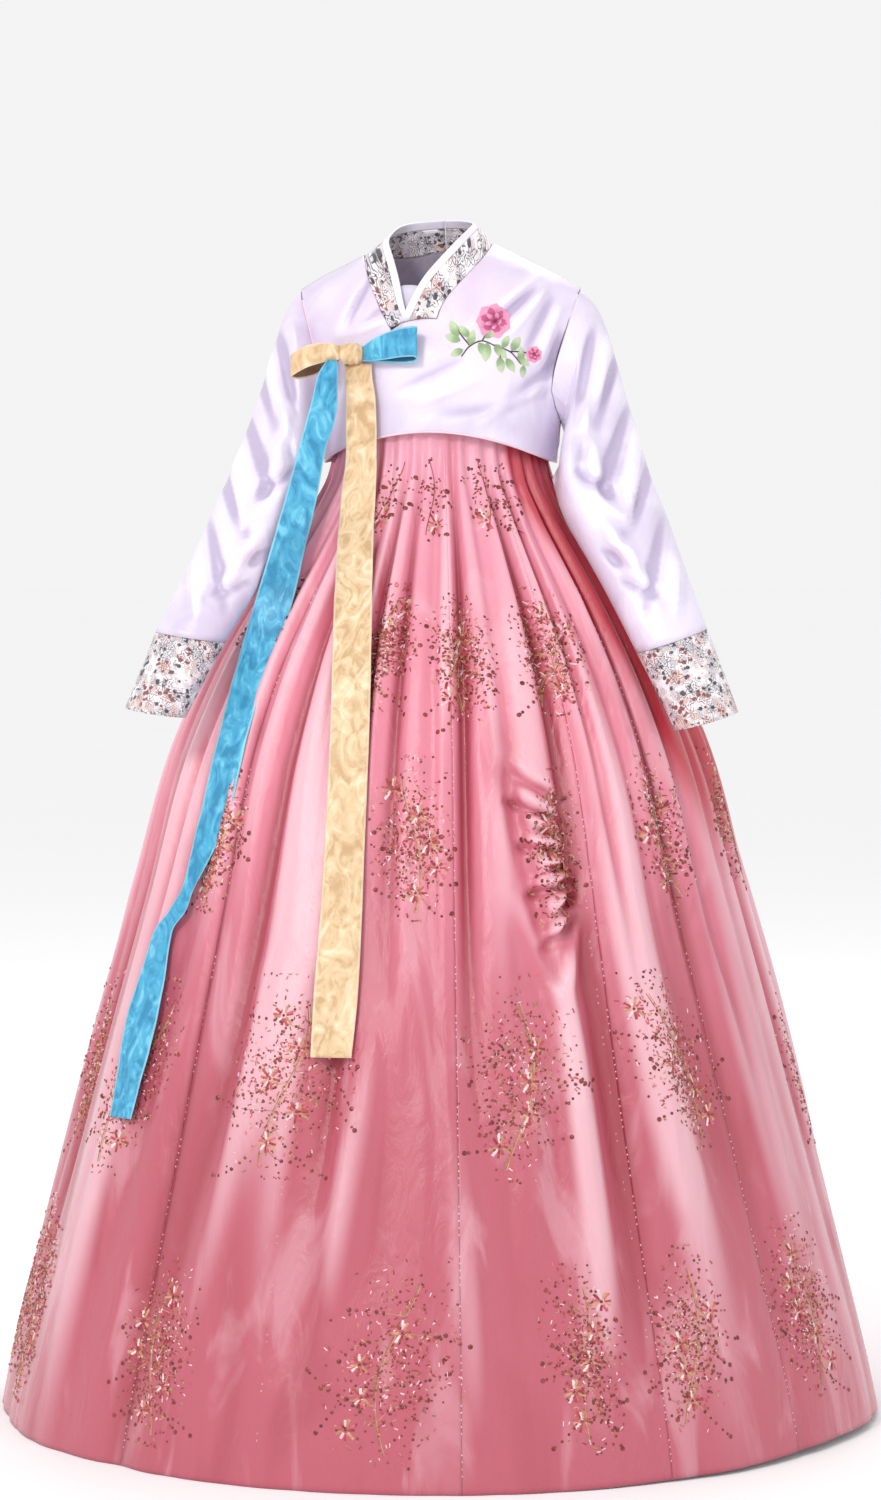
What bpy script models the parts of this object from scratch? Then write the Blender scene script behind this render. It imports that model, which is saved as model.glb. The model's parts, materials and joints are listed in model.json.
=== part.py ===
"""A Korean hanbok in its worn shape: short wrapped jacket, long gathered skirt and two-colour ribbon bow.

Lengths are metres. Heights run up from the skirt hem until a mesh is made; then the origin moves to the base
of the neck, where the garment is held up. +X is the left side of the garment, -Y its front, +Z up.
"""

from math import cos, pi, radians, sin

import bpy
import numpy as np

# Common sizes
ORIGIN_HEIGHT = 1.36
CLOTH = 0.0015
COLLAR_CLOTH = 0.0018
SEAM_GAP = 0.0003
JACKET_TURN = radians(7.0)

# Skirt: one row for each ring height, with the half width and half depth of the ring there
SKIRT_PROFILE = (
    # height, half_width, half_depth
    (1.1720, 0.1230, 0.0965),
    (1.1400, 0.1235, 0.0970),
    (1.1050, 0.1290, 0.1045),
    (1.0600, 0.1500, 0.1290),
    (1.0150, 0.1790, 0.1600),
    (0.9550, 0.2190, 0.2000),
    (0.8700, 0.2680, 0.2490),
    (0.7660, 0.3130, 0.2920),
    (0.6230, 0.3530, 0.3300),
    (0.4800, 0.3950, 0.3700),
    (0.3360, 0.4360, 0.4090),
    (0.1800, 0.4790, 0.4490),
    (0.0500, 0.5120, 0.4800),
    (0.0000, 0.5220, 0.4900),
)
SKIRT_COLUMNS = 168
SKIRT_FIRST_AZIMUTH = -44.0
SKIRT_SEAM_COLUMNS = (0, 22, 34, 44, 68, 94, 118, 144)
SPACING_WAVES = (
    # waves_round, degrees
    (5.0, 0.9),
    (11.0, 0.5),
)
HEM_RISE = 0.009
HEM_RISE_AZIMUTH = 64.0
HEM_RISE_HALF_ANGLE = 30.0
HEM_RISE_TOP = 0.25

# Gathers: a wave all round, four mesh columns each, deep below the band and fading on the way down
GATHER_COLUMNS = 4
GATHER_MEAN_SHARE = 0.72
GATHER_SHARE_SWING = 0.28
GATHER_SHARE_STEP = 2.4
GATHER_SHARE_START = 0.7
GATHER_DEPTH = (
    # height, depth
    (1.1720, 0.0018),
    (1.1400, 0.0024),
    (1.0600, 0.0052),
    (0.9550, 0.0070),
    (0.7660, 0.0060),
    (0.4800, 0.0034),
    (0.2000, 0.0018),
    (0.0000, 0.0010),
)

# Long folds: troughs are negative, ridges positive
LONG_FOLDS = (
    # azimuth, half_angle, top, peak, bottom, depth
    (-62.0, 6.0, 1.00, 0.50, -0.30, 0.012),
    (-44.0, 3.5, 0.95, 0.35, -0.30, -0.014),
    (-24.0, 5.0, 1.10, 0.60, -0.10, 0.010),
    (-12.0, 3.5, 1.05, 0.70, 0.05, -0.010),
    (3.0, 3.0, 1.10, 0.75, 0.05, -0.012),
    (10.0, 4.0, 1.05, 0.70, 0.20, 0.008),
    (17.0, 3.0, 0.70, 0.50, 0.10, -0.012),
    (22.5, 3.0, 0.75, 0.45, 0.00, 0.009),
    (28.0, 3.0, 0.90, 0.40, -0.30, -0.007),
    (40.0, 6.0, 0.95, 0.45, -0.30, 0.009),
    (52.0, 4.0, 0.95, 0.55, -0.10, -0.010),
    (70.0, 7.0, 1.00, 0.45, -0.30, 0.011),
    (88.0, 5.0, 0.95, 0.40, -0.30, -0.009),
    (108.0, 7.0, 1.00, 0.45, -0.30, 0.012),
    (127.0, 5.0, 1.05, 0.50, -0.20, -0.012),
    (146.0, 7.0, 1.00, 0.40, -0.30, 0.012),
    (166.0, 5.0, 1.05, 0.55, -0.20, -0.011),
    (184.0, 7.0, 1.00, 0.40, -0.30, 0.010),
    (203.0, 5.0, 1.00, 0.45, -0.30, -0.012),
    (222.0, 7.0, 1.00, 0.50, -0.30, 0.012),
    (243.0, 5.0, 1.05, 0.45, -0.30, -0.012),
    (262.0, 7.0, 1.00, 0.45, -0.30, 0.010),
    (281.0, 5.0, 0.95, 0.40, -0.30, -0.010),
)

# Jacket body
HEM_HALF_WIDTH = 0.138
FRONT_DEPTH = 0.110
BACK_DEPTH = 0.108
HEM_HEIGHT = 1.153
HEM_DROP = 0.036
UNDER_HEM_LIFT = 0.008
RIDGE_HALF_WIDTH = 0.178
BODY_WIDENING = 1.5
DOME_REACH = 2.5
DOME_ROUNDNESS = 0.4545
BODY_MIDDLE_HEIGHT = 1.2
BUST = 0.006
BUST_X = 0.060
BUST_HEIGHT = 1.235
BUST_SPREAD = 0.045
UNDER_INSET = 0.0062
LAP_START_X = -0.132
LAP_FULL_X = -0.100
LAP_FADE_HEIGHT = 1.325
LAP_END_HEIGHT = 1.352
RIDGE_SLOPE_RUN = 0.004
SHOULDER_RIDGE = (
    # distance_from_middle, height
    (0.000, 1.3920),
    (0.035, 1.3850),
    (0.070, 1.3725),
    (0.102, 1.3555),
    (0.140, 1.3370),
    (0.168, 1.3200),
    (0.188, 1.3000),
)
JACKET_ROWS = (0.0, 0.12, 0.24, 0.265, 0.31, 0.39, 0.47, 0.55, 0.64, 0.73, 0.82, 0.90, 0.96, 1.0)
UNDERARM_ROW = 2
NOTCH_ROW = 7
NOTCH_COLUMNS = 4
COLLAR_CORNER_X = -0.004
COLLAR_END_X = -0.0467
ARMHOLE = (
    # row, side_share
    (0.000, 1.00),
    (0.240, 1.00),
    (0.265, 0.92),
    (0.310, 0.82),
    (0.390, 0.735),
    (0.500, 0.72),
    (0.650, 0.735),
    (0.800, 0.75),
    (0.900, 0.755),
    (1.000, 0.76),
)
PANEL_COLUMNS = 12
BACK_COLUMNS = 9
BACK_NECK_COLUMNS = 4
BACK_NECK_FULLNESS = 1.9
BACK_NECK_ROUNDNESS = 0.8
HALVINGS = 48
ON_PLANE = 1e-6

# Front edges: the left front laps over; its edge runs up behind the bow and along the outside of the collar
OVER_EDGE = (
    # height, x
    (1.1000, -0.0950),
    (1.2430, -0.0920),
    (1.2775, -0.0467),
    (1.2870, -0.0467),
    (1.2871, -0.0030),
    (1.3030, 0.0018),
    (1.3310, 0.0265),
    (1.3550, 0.0500),
    (1.3760, 0.0635),
    (1.4200, 0.0700),
)
UNDER_EDGE = (
    # height, x
    (1.1000, -0.0200),
    (1.2000, -0.0250),
    (1.2350, -0.0350),
    (1.2620, -0.0520),
    (1.2850, -0.0658),
    (1.3050, -0.0743),
    (1.3290, -0.0840),
    (1.3500, -0.0890),
    (1.3650, -0.0905),
    (1.4200, -0.0910),
)
BACK_NECK_HEIGHT = 1.368

# Collar: inner edge for each height of the outer edge, then stations round the back of the neck
OVER_COLLAR_INNER = (
    # outer_height, x, y, height
    (1.2800, -0.0467, -0.0917, 1.2800),
    (1.3030, -0.0260, -0.0815, 1.3260),
    (1.3310, -0.0010, -0.0690, 1.3550),
    (1.3550, 0.0200, -0.0440, 1.3780),
    (1.3740, 0.0400, -0.0140, 1.3980),
)
UNDER_COLLAR_INNER = (
    # outer_height, x, y, height
    (1.2700, -0.0330, -0.0895, 1.2750),
    (1.2850, -0.0400, -0.0840, 1.2900),
    (1.3050, -0.0445, -0.0765, 1.3070),
    (1.3290, -0.0480, -0.0640, 1.3310),
    (1.3500, -0.0560, -0.0410, 1.3600),
    (1.3620, -0.0640, -0.0100, 1.3810),
)
BACK_COLLAR_INNER = (
    # outer_x, x, y, height
    (-0.0905, -0.0640, -0.0100, 1.3810),
    (-0.0700, -0.0560, 0.0240, 1.3950),
    (-0.0400, -0.0350, 0.0440, 1.4010),
    (-0.0100, -0.0100, 0.0500, 1.4030),
    (0.0200, 0.0170, 0.0440, 1.4040),
    (0.0450, 0.0340, 0.0240, 1.4020),
    (0.0635, 0.0400, -0.0140, 1.3980),
)
EDGING_SHARE = 0.25
EDGING_COLUMNS = 2
COLLAR_COLUMNS = 4
COLLAR_WIDTH = 0.036
COLLAR_SEAM = 1.6 * SEAM_GAP
COLLAR_MIDDLE = (-0.012, 0.010, 1.34)
COLLAR_BULGE = 0.0022
UNDER_COLLAR_BULGE = 0.0007
COLLAR_CELLS = 8

# Sleeves: each row is a ring, given by its outer point, inner point, half thickness and forward lean
LEFT_SLEEVE = (
    # outer_x, outer_y, outer_h, inner_x, inner_y, inner_h, half_depth, lean
    (0.1858, 0.0000, 1.3017, 0.1435, -0.0040, 1.1570, 0.058, 0.006),
    (0.1974, -0.0040, 1.2725, 0.1465, -0.0100, 1.1490, 0.062, 0.014),
    (0.2078, -0.0100, 1.2373, 0.1480, -0.0180, 1.1400, 0.064, 0.022),
    (0.2212, -0.0180, 1.1905, 0.1470, -0.0320, 1.1280, 0.062, 0.038),
    (0.2360, -0.0300, 1.1400, 0.1320, -0.0780, 1.1000, 0.055, 0.040),
    (0.2475, -0.0450, 1.0950, 0.1420, -0.1000, 1.0580, 0.050, 0.024),
    (0.2617, -0.0640, 1.0550, 0.1670, -0.1230, 1.0200, 0.046, 0.006),
    (0.2765, -0.0880, 0.9980, 0.1955, -0.1450, 0.9700, 0.042, 0.000),
    (0.3013, -0.1200, 0.9258, 0.2305, -0.1720, 0.9020, 0.040, 0.000),
)
LEFT_CUFF = (
    # outer_x, outer_y, outer_h, inner_x, inner_y, inner_h, half_depth, lean
    (0.3015, -0.1202, 0.9254, 0.2306, -0.1723, 0.9015, 0.040, 0.000),
    (0.3130, -0.1350, 0.8920, 0.2455, -0.1870, 0.8720, 0.0385, 0.000),
    (0.3240, -0.1470, 0.8600, 0.2610, -0.2000, 0.8430, 0.037, 0.000),
    (0.3330, -0.1570, 0.8320, 0.2745, -0.2110, 0.8156, 0.036, 0.000),
)
RIGHT_SLEEVE = (
    # outer_x, outer_y, outer_h, inner_x, inner_y, inner_h, half_depth, lean
    (-0.1810, 0.0160, 1.3017, -0.1440, 0.0120, 1.1570, 0.057, 0.004),
    (-0.1920, 0.0130, 1.2725, -0.1470, 0.0080, 1.1500, 0.060, 0.008),
    (-0.2020, 0.0080, 1.2373, -0.1490, 0.0020, 1.1420, 0.060, 0.012),
    (-0.2165, 0.0000, 1.1905, -0.1500, -0.0140, 1.1300, 0.058, 0.022),
    (-0.2330, -0.0140, 1.1400, -0.1480, -0.0520, 1.1000, 0.052, 0.026),
    (-0.2490, -0.0330, 1.0950, -0.1640, -0.0800, 1.0650, 0.048, 0.008),
    (-0.2650, -0.0560, 1.0470, -0.1880, -0.1070, 1.0220, 0.045, 0.000),
    (-0.2885, -0.0850, 0.9900, -0.2165, -0.1380, 0.9720, 0.042, 0.000),
    (-0.3205, -0.1150, 0.9230, -0.2540, -0.1660, 0.9130, 0.040, 0.000),
)
RIGHT_CUFF = (
    # outer_x, outer_y, outer_h, inner_x, inner_y, inner_h, half_depth, lean
    (-0.3207, -0.1152, 0.9226, -0.2542, -0.1662, 0.9126, 0.040, 0.000),
    (-0.3320, -0.1290, 0.8920, -0.2690, -0.1800, 0.8840, 0.038, 0.000),
    (-0.3430, -0.1400, 0.8630, -0.2850, -0.1920, 0.8560, 0.036, 0.000),
    (-0.3525, -0.1500, 0.8371, -0.2994, -0.2020, 0.8287, 0.034, 0.000),
)

SLEEVE_LEAN_POWER = 1.5

# Inner band
BAND_INSET = 0.0130
BAND_COLUMNS = 36
BAND_ROWS = 6
BAND_BODY_ROW = 0.6
BAND_SIDE_TOP = 1.262
BAND_TONGUE_TOP = 1.326
BAND_TONGUE_MIDDLE = -0.036
BAND_TONGUE_HALF_WIDTH = 0.052
BAND_TONGUE_SQUARENESS = 3.0

# Ribbon bow: a gold knot, a gold loop to the right, a blue loop to the left, and two long tails
RIBBON_CLOTH = 0.0012
KNOT_CENTRE = (-0.1034, -0.0890, 1.2435)
KNOT_HALF = (0.0142, 0.0114, 0.0125)
KNOT_SQUARENESS = 0.62
KNOT_ROWS = 7
KNOT_COLUMNS = 12
BLUE_LOOP = (
    # x, y, height, half_width
    (-0.0898, -0.0960, 1.2435, 0.0085),
    (-0.0780, -0.1090, 1.2475, 0.0125),
    (-0.0620, -0.1190, 1.2520, 0.0155),
    (-0.0440, -0.1240, 1.2560, 0.0170),
    (-0.0310, -0.1255, 1.2570, 0.0175),
    (-0.0262, -0.1205, 1.2550, 0.0190),
    (-0.0310, -0.1150, 1.2530, 0.0205),
    (-0.0440, -0.1115, 1.2520, 0.0205),
    (-0.0620, -0.1060, 1.2500, 0.0175),
    (-0.0780, -0.0965, 1.2465, 0.0130),
    (-0.0891, -0.0880, 1.2430, 0.0085),
)
GOLD_LOOP = (
    # x, y, height, half_width
    (-0.1172, -0.0930, 1.2450, 0.0085),
    (-0.1320, -0.1010, 1.2448, 0.0110),
    (-0.1500, -0.1020, 1.2415, 0.0125),
    (-0.1650, -0.0985, 1.2345, 0.0128),
    (-0.1720, -0.0925, 1.2295, 0.0130),
    (-0.1650, -0.0860, 1.2290, 0.0145),
    (-0.1500, -0.0800, 1.2325, 0.0155),
    (-0.1330, -0.0770, 1.2385, 0.0125),
    (-0.1182, -0.0780, 1.2430, 0.0085),
)
GOLD_TAIL = (
    # height, right_x, right_y, left_x, left_y
    (1.2313, -0.1107, -0.0800, -0.0792, -0.0960),
    (1.2155, -0.1101, -0.0830, -0.0780, -0.0990),
    (1.1901, -0.1089, -0.0850, -0.0745, -0.1000),
    (1.1520, -0.1090, -0.0850, -0.0734, -0.1000),
    (1.1208, -0.1096, -0.0860, -0.0734, -0.1010),
    (1.0862, -0.1136, -0.0920, -0.0745, -0.1110),
    (1.0519, -0.1161, -0.1100, -0.0759, -0.1310),
    (1.0179, -0.1185, -0.1360, -0.0767, -0.1570),
    (0.9899, -0.1197, -0.1580, -0.0770, -0.1800),
    (0.9620, -0.1209, -0.1800, -0.0773, -0.2000),
    (0.9067, -0.1218, -0.2200, -0.0780, -0.2330),
    (0.8516, -0.1228, -0.2495, -0.0788, -0.2575),
    (0.7638, -0.1260, -0.2860, -0.0817, -0.2880),
    (0.6870, -0.1295, -0.3070, -0.0848, -0.3080),
    (0.5996, -0.1352, -0.3280, -0.0879, -0.3300),
    (0.5237, -0.1410, -0.3470, -0.0920, -0.3510),
    (0.4612, -0.1439, -0.3630, -0.0984, -0.3680),
)
BLUE_TAIL = (
    # height, right_x, right_y, left_x, left_y
    (1.2360, -0.1310, -0.1045, -0.1207, -0.1000),
    (1.2210, -0.1407, -0.1065, -0.1189, -0.1030),
    (1.1888, -0.1489, -0.1040, -0.1190, -0.1010),
    (1.1635, -0.1560, -0.1010, -0.1226, -0.0990),
    (1.1370, -0.1631, -0.0990, -0.1319, -0.0980),
    (1.0747, -0.1803, -0.1070, -0.1434, -0.1030),
    (1.0173, -0.1965, -0.1260, -0.1571, -0.1140),
    (0.9599, -0.2133, -0.1280, -0.1693, -0.1320),
    (0.9031, -0.2292, -0.1360, -0.1880, -0.1600),
    (0.8469, -0.2434, -0.1560, -0.2077, -0.1860),
    (0.7853, -0.2586, -0.1780, -0.2241, -0.2070),
    (0.7173, -0.2738, -0.1870, -0.2398, -0.2160),
    (0.6661, -0.2855, -0.1950, -0.2629, -0.2130),
    (0.6327, -0.2946, -0.1980, -0.2804, -0.2070),
    (0.6087, -0.3084, -0.1980, -0.2896, -0.2080),
    (0.5845, -0.3267, -0.1820, -0.3049, -0.2020),
    (0.5338, -0.3427, -0.1870, -0.3135, -0.2140),
    (0.4874, -0.3581, -0.1910, -0.3215, -0.2230),
    (0.4267, -0.3685, -0.2010, -0.3367, -0.2320),
    (0.3729, -0.3770, -0.2140, -0.3513, -0.2380),
)


def smooth(value, low, high):
    """Rise from 0 at low to 1 at high with level ends."""
    t = np.clip((value - low) / (high - low), 0.0, 1.0)
    return t * t * (3.0 - 2.0 * t)


def look_up(rows, at, column=1):
    """Read one column of a table at a position in its first column."""
    ordered = sorted(rows)
    places = [row[0] for row in ordered]
    values = [row[column] for row in ordered]
    return np.interp(at, places, values)


def turned(points):
    """Turn points of the jacket body a little to its right about the upright axis."""
    out = np.array(points, dtype=float)
    x = out[..., 0].copy()
    y = out[..., 1].copy()
    out[..., 0] = x * cos(JACKET_TURN) + y * sin(JACKET_TURN)
    out[..., 1] = -x * sin(JACKET_TURN) + y * cos(JACKET_TURN)
    return out


def grid_normals(points, wrap_columns=False):
    """Unit normals of a grid of points, from the differences of neighbours."""
    if wrap_columns:
        along = np.roll(points, -1, axis=1) - np.roll(points, 1, axis=1)
    else:
        along = np.gradient(points, axis=1)
    down = np.gradient(points, axis=0)
    normals = np.cross(along, down)
    length = np.linalg.norm(normals, axis=2, keepdims=True)
    return normals / np.maximum(length, 1e-12)


def make_material(name, colour, roughness, metallic=0.0):
    """Make a plain material from linear colour values."""
    material = bpy.data.materials.new(name)
    material.use_nodes = True
    shader = material.node_tree.nodes["Principled BSDF"]
    shader.inputs["Base Color"].default_value = (colour[0], colour[1], colour[2], 1.0)
    shader.inputs["Roughness"].default_value = roughness
    shader.inputs["Metallic"].default_value = metallic
    material.diffuse_color = (colour[0], colour[1], colour[2], 1.0)
    material.roughness = roughness
    material.metallic = metallic
    return material


def make_object(name, vertices, triangles, material):
    """Make one closed mesh object, faces outward, with the origin at the base of the neck."""
    points = np.array(vertices, dtype=float)
    points[:, 2] -= ORIGIN_HEIGHT
    faces = np.array(triangles, dtype=int)
    a = points[faces[:, 0]]
    b = points[faces[:, 1]]
    c = points[faces[:, 2]]
    volume = np.einsum("ij,ij->i", a, np.cross(b, c)).sum() / 6.0
    if volume < 0.0:
        faces = faces[:, ::-1]
    mesh = bpy.data.meshes.new(name)
    mesh.from_pydata(points.tolist(), [], faces.tolist())
    mesh.materials.append(material)
    mesh.validate()
    mesh.update()
    made = bpy.data.objects.new(name, mesh)
    bpy.context.scene.collection.objects.link(made)
    return made


def make_wall(name, outer, inner, material, wrap=False, present=None):
    """Close the space between two matching grids of points into one solid wall.

    present marks the cells of the grid that the wall covers; without it the wall covers all of them.
    """
    rows, columns = outer.shape[0], outer.shape[1]
    cells = columns if wrap else columns - 1
    if present is None:
        present = np.ones((rows - 1, cells), dtype=bool)
    half = rows * columns
    triangles = []

    def covered(row, cell):
        if wrap:
            cell %= cells
        return 0 <= row < rows - 1 and 0 <= cell < cells and bool(present[row, cell])

    for row in range(rows - 1):
        for cell in range(cells):
            if not covered(row, cell):
                continue
            after = (cell + 1) % columns
            ring = (row * columns + cell, row * columns + after,
                    (row + 1) * columns + after, (row + 1) * columns + cell)
            triangles.append((ring[0], ring[1], ring[2]))
            triangles.append((ring[0], ring[2], ring[3]))
            triangles.append((ring[0] + half, ring[2] + half, ring[1] + half))
            triangles.append((ring[0] + half, ring[3] + half, ring[2] + half))
            beyond = ((row - 1, cell), (row, cell + 1), (row + 1, cell), (row, cell - 1))
            for edge, (next_row, next_cell) in enumerate(beyond):
                if covered(next_row, next_cell):
                    continue
                one, two = ring[edge], ring[(edge + 1) % 4]
                triangles.append((two, one, one + half))
                triangles.append((two, one + half, two + half))
    vertices = np.concatenate([outer.reshape(-1, 3), inner.reshape(-1, 3)])
    faces = np.array(triangles)
    used = np.unique(faces)
    renumber = np.zeros(len(vertices), dtype=int)
    renumber[used] = np.arange(len(used))
    return make_object(name, vertices[used], renumber[faces], material)


def fold_relief(azimuth, height):
    """Radial offset of the long folds at an azimuth in degrees and a height."""
    total = 0.0
    for centre, half_angle, top, peak, bottom, depth in LONG_FOLDS:
        apart = (azimuth - centre + 180.0) % 360.0 - 180.0
        across = np.exp(-(apart / half_angle) ** 2)
        if height > peak:
            along = 1.0 - smooth(height, peak, top)
        else:
            along = smooth(height, bottom, peak)
        total += depth * across * along
    return total


def gather_relief(column, height):
    """Radial offset of the gathers at a mesh column and a height."""
    index = column // GATHER_COLUMNS
    swing = sin(GATHER_SHARE_STEP * index + GATHER_SHARE_START)
    share = GATHER_MEAN_SHARE + GATHER_SHARE_SWING * swing
    wave = -cos(2.0 * pi * column / GATHER_COLUMNS)
    return look_up(GATHER_DEPTH, height) * share * wave


def skirt_azimuth(column):
    """Azimuth in degrees of a mesh column, unevenly spaced so that no two gathers are alike."""
    even = SKIRT_FIRST_AZIMUTH + 360.0 * column / SKIRT_COLUMNS
    turn = 2.0 * pi * column / SKIRT_COLUMNS
    return even + sum(degrees * sin(waves * turn) for waves, degrees in SPACING_WAVES)


def hem_rise(azimuth, height):
    """How far the hem lifts off the floor at its left front, fading out up the skirt."""
    apart = (azimuth - HEM_RISE_AZIMUTH) / HEM_RISE_HALF_ANGLE
    return HEM_RISE * np.exp(-apart ** 2) * (1.0 - smooth(height, 0.0, HEM_RISE_TOP))


def skirt_grid():
    """Outer points of the whole skirt, a row for each ring from the band to the hem."""
    grid = np.zeros((len(SKIRT_PROFILE), SKIRT_COLUMNS, 3))
    for row, (height, half_width, half_depth) in enumerate(SKIRT_PROFILE):
        for column in range(SKIRT_COLUMNS):
            azimuth = skirt_azimuth(column)
            angle = radians(azimuth)
            across = np.array((sin(angle) / half_width, -cos(angle) / half_depth))
            across /= np.linalg.norm(across)
            relief = gather_relief(column, height) + fold_relief(azimuth, height)
            grid[row, column, 0] = half_width * sin(angle) + across[0] * relief
            grid[row, column, 1] = -half_depth * cos(angle) + across[1] * relief
            grid[row, column, 2] = height + hem_rise(azimuth, height)
    return grid


def build_skirt(material):
    """Cut the skirt grid into its gores, a narrow gap apart along each seam."""
    outer = skirt_grid()
    normals = grid_normals(outer, wrap_columns=True)
    facing = np.sign(np.einsum("ijk,ijk->ij", normals[..., :2], outer[..., :2])).mean()
    inner = outer - CLOTH * facing * normals
    inner[0, :, 2] = outer[0, :, 2]
    inner[-1, :, 2] = outer[-1, :, 2]
    seams = list(SKIRT_SEAM_COLUMNS) + [SKIRT_COLUMNS]
    for number in range(len(SKIRT_SEAM_COLUMNS)):
        columns = [column % SKIRT_COLUMNS for column in range(seams[number], seams[number + 1] + 1)]
        outside = outer[:, columns].copy()
        inside = inner[:, columns].copy()
        for edge, neighbour in ((0, 1), (-1, -2)):
            step = outside[:, neighbour] - outside[:, edge]
            step /= np.linalg.norm(step, axis=1, keepdims=True)
            outside[:, edge] += step * SEAM_GAP / 2.0
            inside[:, edge] += step * SEAM_GAP / 2.0
        make_wall(f"skirt_panel_{number + 1}", outside, inside, material)


def body_point(side, row, back=False, inset=0.0, lift=0.0):
    """A point of the jacket body before its turn.

    side runs from -1 at the right side seam to 1 at the left; row from 0 at the hem to 1 at the shoulder.
    """
    angle = side * pi / 2.0
    across = sin(angle)
    forward = cos(angle)
    half_width = HEM_HALF_WIDTH - inset
    depth = (BACK_DEPTH if back else FRONT_DEPTH) - inset
    ridge_x = RIDGE_HALF_WIDTH * across
    ridge_h = look_up(SHOULDER_RIDGE, abs(ridge_x)) - inset
    hem_h = HEM_HEIGHT - HEM_DROP * across ** 2 + lift * forward ** 2
    x = half_width * across + (ridge_x - half_width * across) * row ** BODY_WIDENING
    h = hem_h + (ridge_h - hem_h) * row
    y = depth * forward * (1.0 - row ** DOME_REACH) ** DOME_ROUNDNESS
    if not back:
        aside = (abs(x) - BUST_X) / BUST_SPREAD
        above = (h - BUST_HEIGHT) / BUST_SPREAD
        bust = np.exp(-aside ** 2 - above ** 2)
        y = -y - BUST * bust * forward
    return np.array((x, y, h))


def under_inset(x, h):
    """How far the right front lies below the surface of the left front."""
    reach = smooth(x, LAP_START_X, LAP_FULL_X)
    return UNDER_INSET * reach * (1.0 - smooth(h, LAP_FADE_HEIGHT, LAP_END_HEIGHT))


def front_point(side, row, under=False):
    """A turned point of a front panel; the right front sinks where the left front laps over it."""
    point = body_point(side, row)
    if under:
        place = turned(point)
        inset = under_inset(place[0], place[2])
        point = body_point(side, row, inset=inset, lift=UNDER_HEM_LIFT)
    return point


def edge_side(row, edge, under):
    """The side value where a front panel starts in one row, found by halving."""
    low, high = -1.0, 1.0
    for _ in range(HALVINGS):
        middle = (low + high) / 2.0
        place = turned(front_point(middle, row, under))
        if place[0] < look_up(edge, place[2]):
            low = middle
        else:
            high = middle
    return (low + high) / 2.0


def settle_seams(points, normals, back):
    """Hold the side, shoulder and centre-back edges in their seam planes."""
    on_seam = np.abs(points[..., 1]) < ON_PLANE
    normals[on_seam, 1] = 0.0
    if back:
        on_middle = np.abs(points[..., 0]) < ON_PLANE
        normals[on_middle, 0] = 0.0
    length = np.linalg.norm(normals, axis=2, keepdims=True)
    normals /= np.maximum(length, 1e-12)
    return on_seam


def ridge_normals(points, normals):
    """Give the shoulder row the slope of the shoulder line."""
    for column in range(points.shape[1]):
        x = points[-1, column, 0]
        run = RIDGE_SLOPE_RUN
        rise = look_up(SHOULDER_RIDGE, abs(x) + run) - look_up(SHOULDER_RIDGE, abs(x) - run)
        slope = rise / (2.0 * run) * np.sign(x)
        normals[-1, column] = (-slope, 0.0, 1.0)


def jacket_wall(name, points, back, material, notch=0, present=None):
    """Make one panel of the jacket body from its unturned outer points and return the turned grid."""
    normals = grid_normals(points)
    if notch:
        normals[NOTCH_ROW + 1:, notch:] = grid_normals(points[NOTCH_ROW:, notch:])[1:]
        normals[:NOTCH_ROW + 1] = grid_normals(points[:NOTCH_ROW + 1])
    centre = np.array((0.0, 0.0, BODY_MIDDLE_HEIGHT))
    facing = np.sign(np.einsum("ijk,ijk->ij", normals, points - centre).mean())
    normals *= facing
    ridge_normals(points, normals)
    on_seam = settle_seams(points, normals, back)
    inner = points - CLOTH * normals
    outer = points.copy()
    shift = SEAM_GAP / 2.0 if back else -SEAM_GAP / 2.0
    outer[on_seam, 1] += shift
    inner[on_seam, 1] += shift
    if back:
        on_middle = np.abs(points[..., 0]) < ON_PLANE
        sign = np.sign(points[..., 0].sum())
        outer[on_middle, 0] += sign * SEAM_GAP / 2.0
        inner[on_middle, 0] += sign * SEAM_GAP / 2.0
    make_wall(name, turned(outer), turned(inner), material, present=present)
    return turned(outer)


def build_fronts(material):
    """Make both front panels and return their turned outer grids."""
    grids = {}
    for name, edge, under, end in (("jacket_front_left", OVER_EDGE, False, 1.0),
                                   ("jacket_front_right", UNDER_EDGE, True, -1.0)):
        points = np.zeros((len(JACKET_ROWS), PANEL_COLUMNS + 1, 3))
        notch = 0 if under else NOTCH_COLUMNS
        corner = side_at(JACKET_ROWS[NOTCH_ROW], COLLAR_CORNER_X, under)
        for index, row in enumerate(JACKET_ROWS):
            start = edge_side(row, edge, under)
            stop = end * look_up(ARMHOLE, row)
            for column in range(PANEL_COLUMNS + 1):
                if under:
                    side = start + (stop - start) * column / PANEL_COLUMNS
                elif index > NOTCH_ROW:
                    share = max(0.0, (column - notch) / (PANEL_COLUMNS - notch))
                    side = start + (stop - start) * share
                else:
                    share = column / notch if column < notch else 1.0
                    side = start + (corner - start) * share
                    if column > notch:
                        side = corner + (stop - corner) * (column - notch) / (PANEL_COLUMNS - notch)
                points[index, column] = front_point(side, row, under)
        points[:, -1][np.abs(points[:, -1, 1]) < ON_PLANE, 1] = 0.0
        points[-1, :, 1] = 0.0
        present = np.ones((len(JACKET_ROWS) - 1, PANEL_COLUMNS), dtype=bool)
        present[NOTCH_ROW:, :notch] = False
        grids[name] = jacket_wall(name, points, False, material, notch, present)
    return grids


def side_at(row, x, under):
    """The side value at which one row of a front panel reaches an x, found by halving."""
    return edge_side(row, ((1.0, x), (1.5, x)), under)


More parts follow.
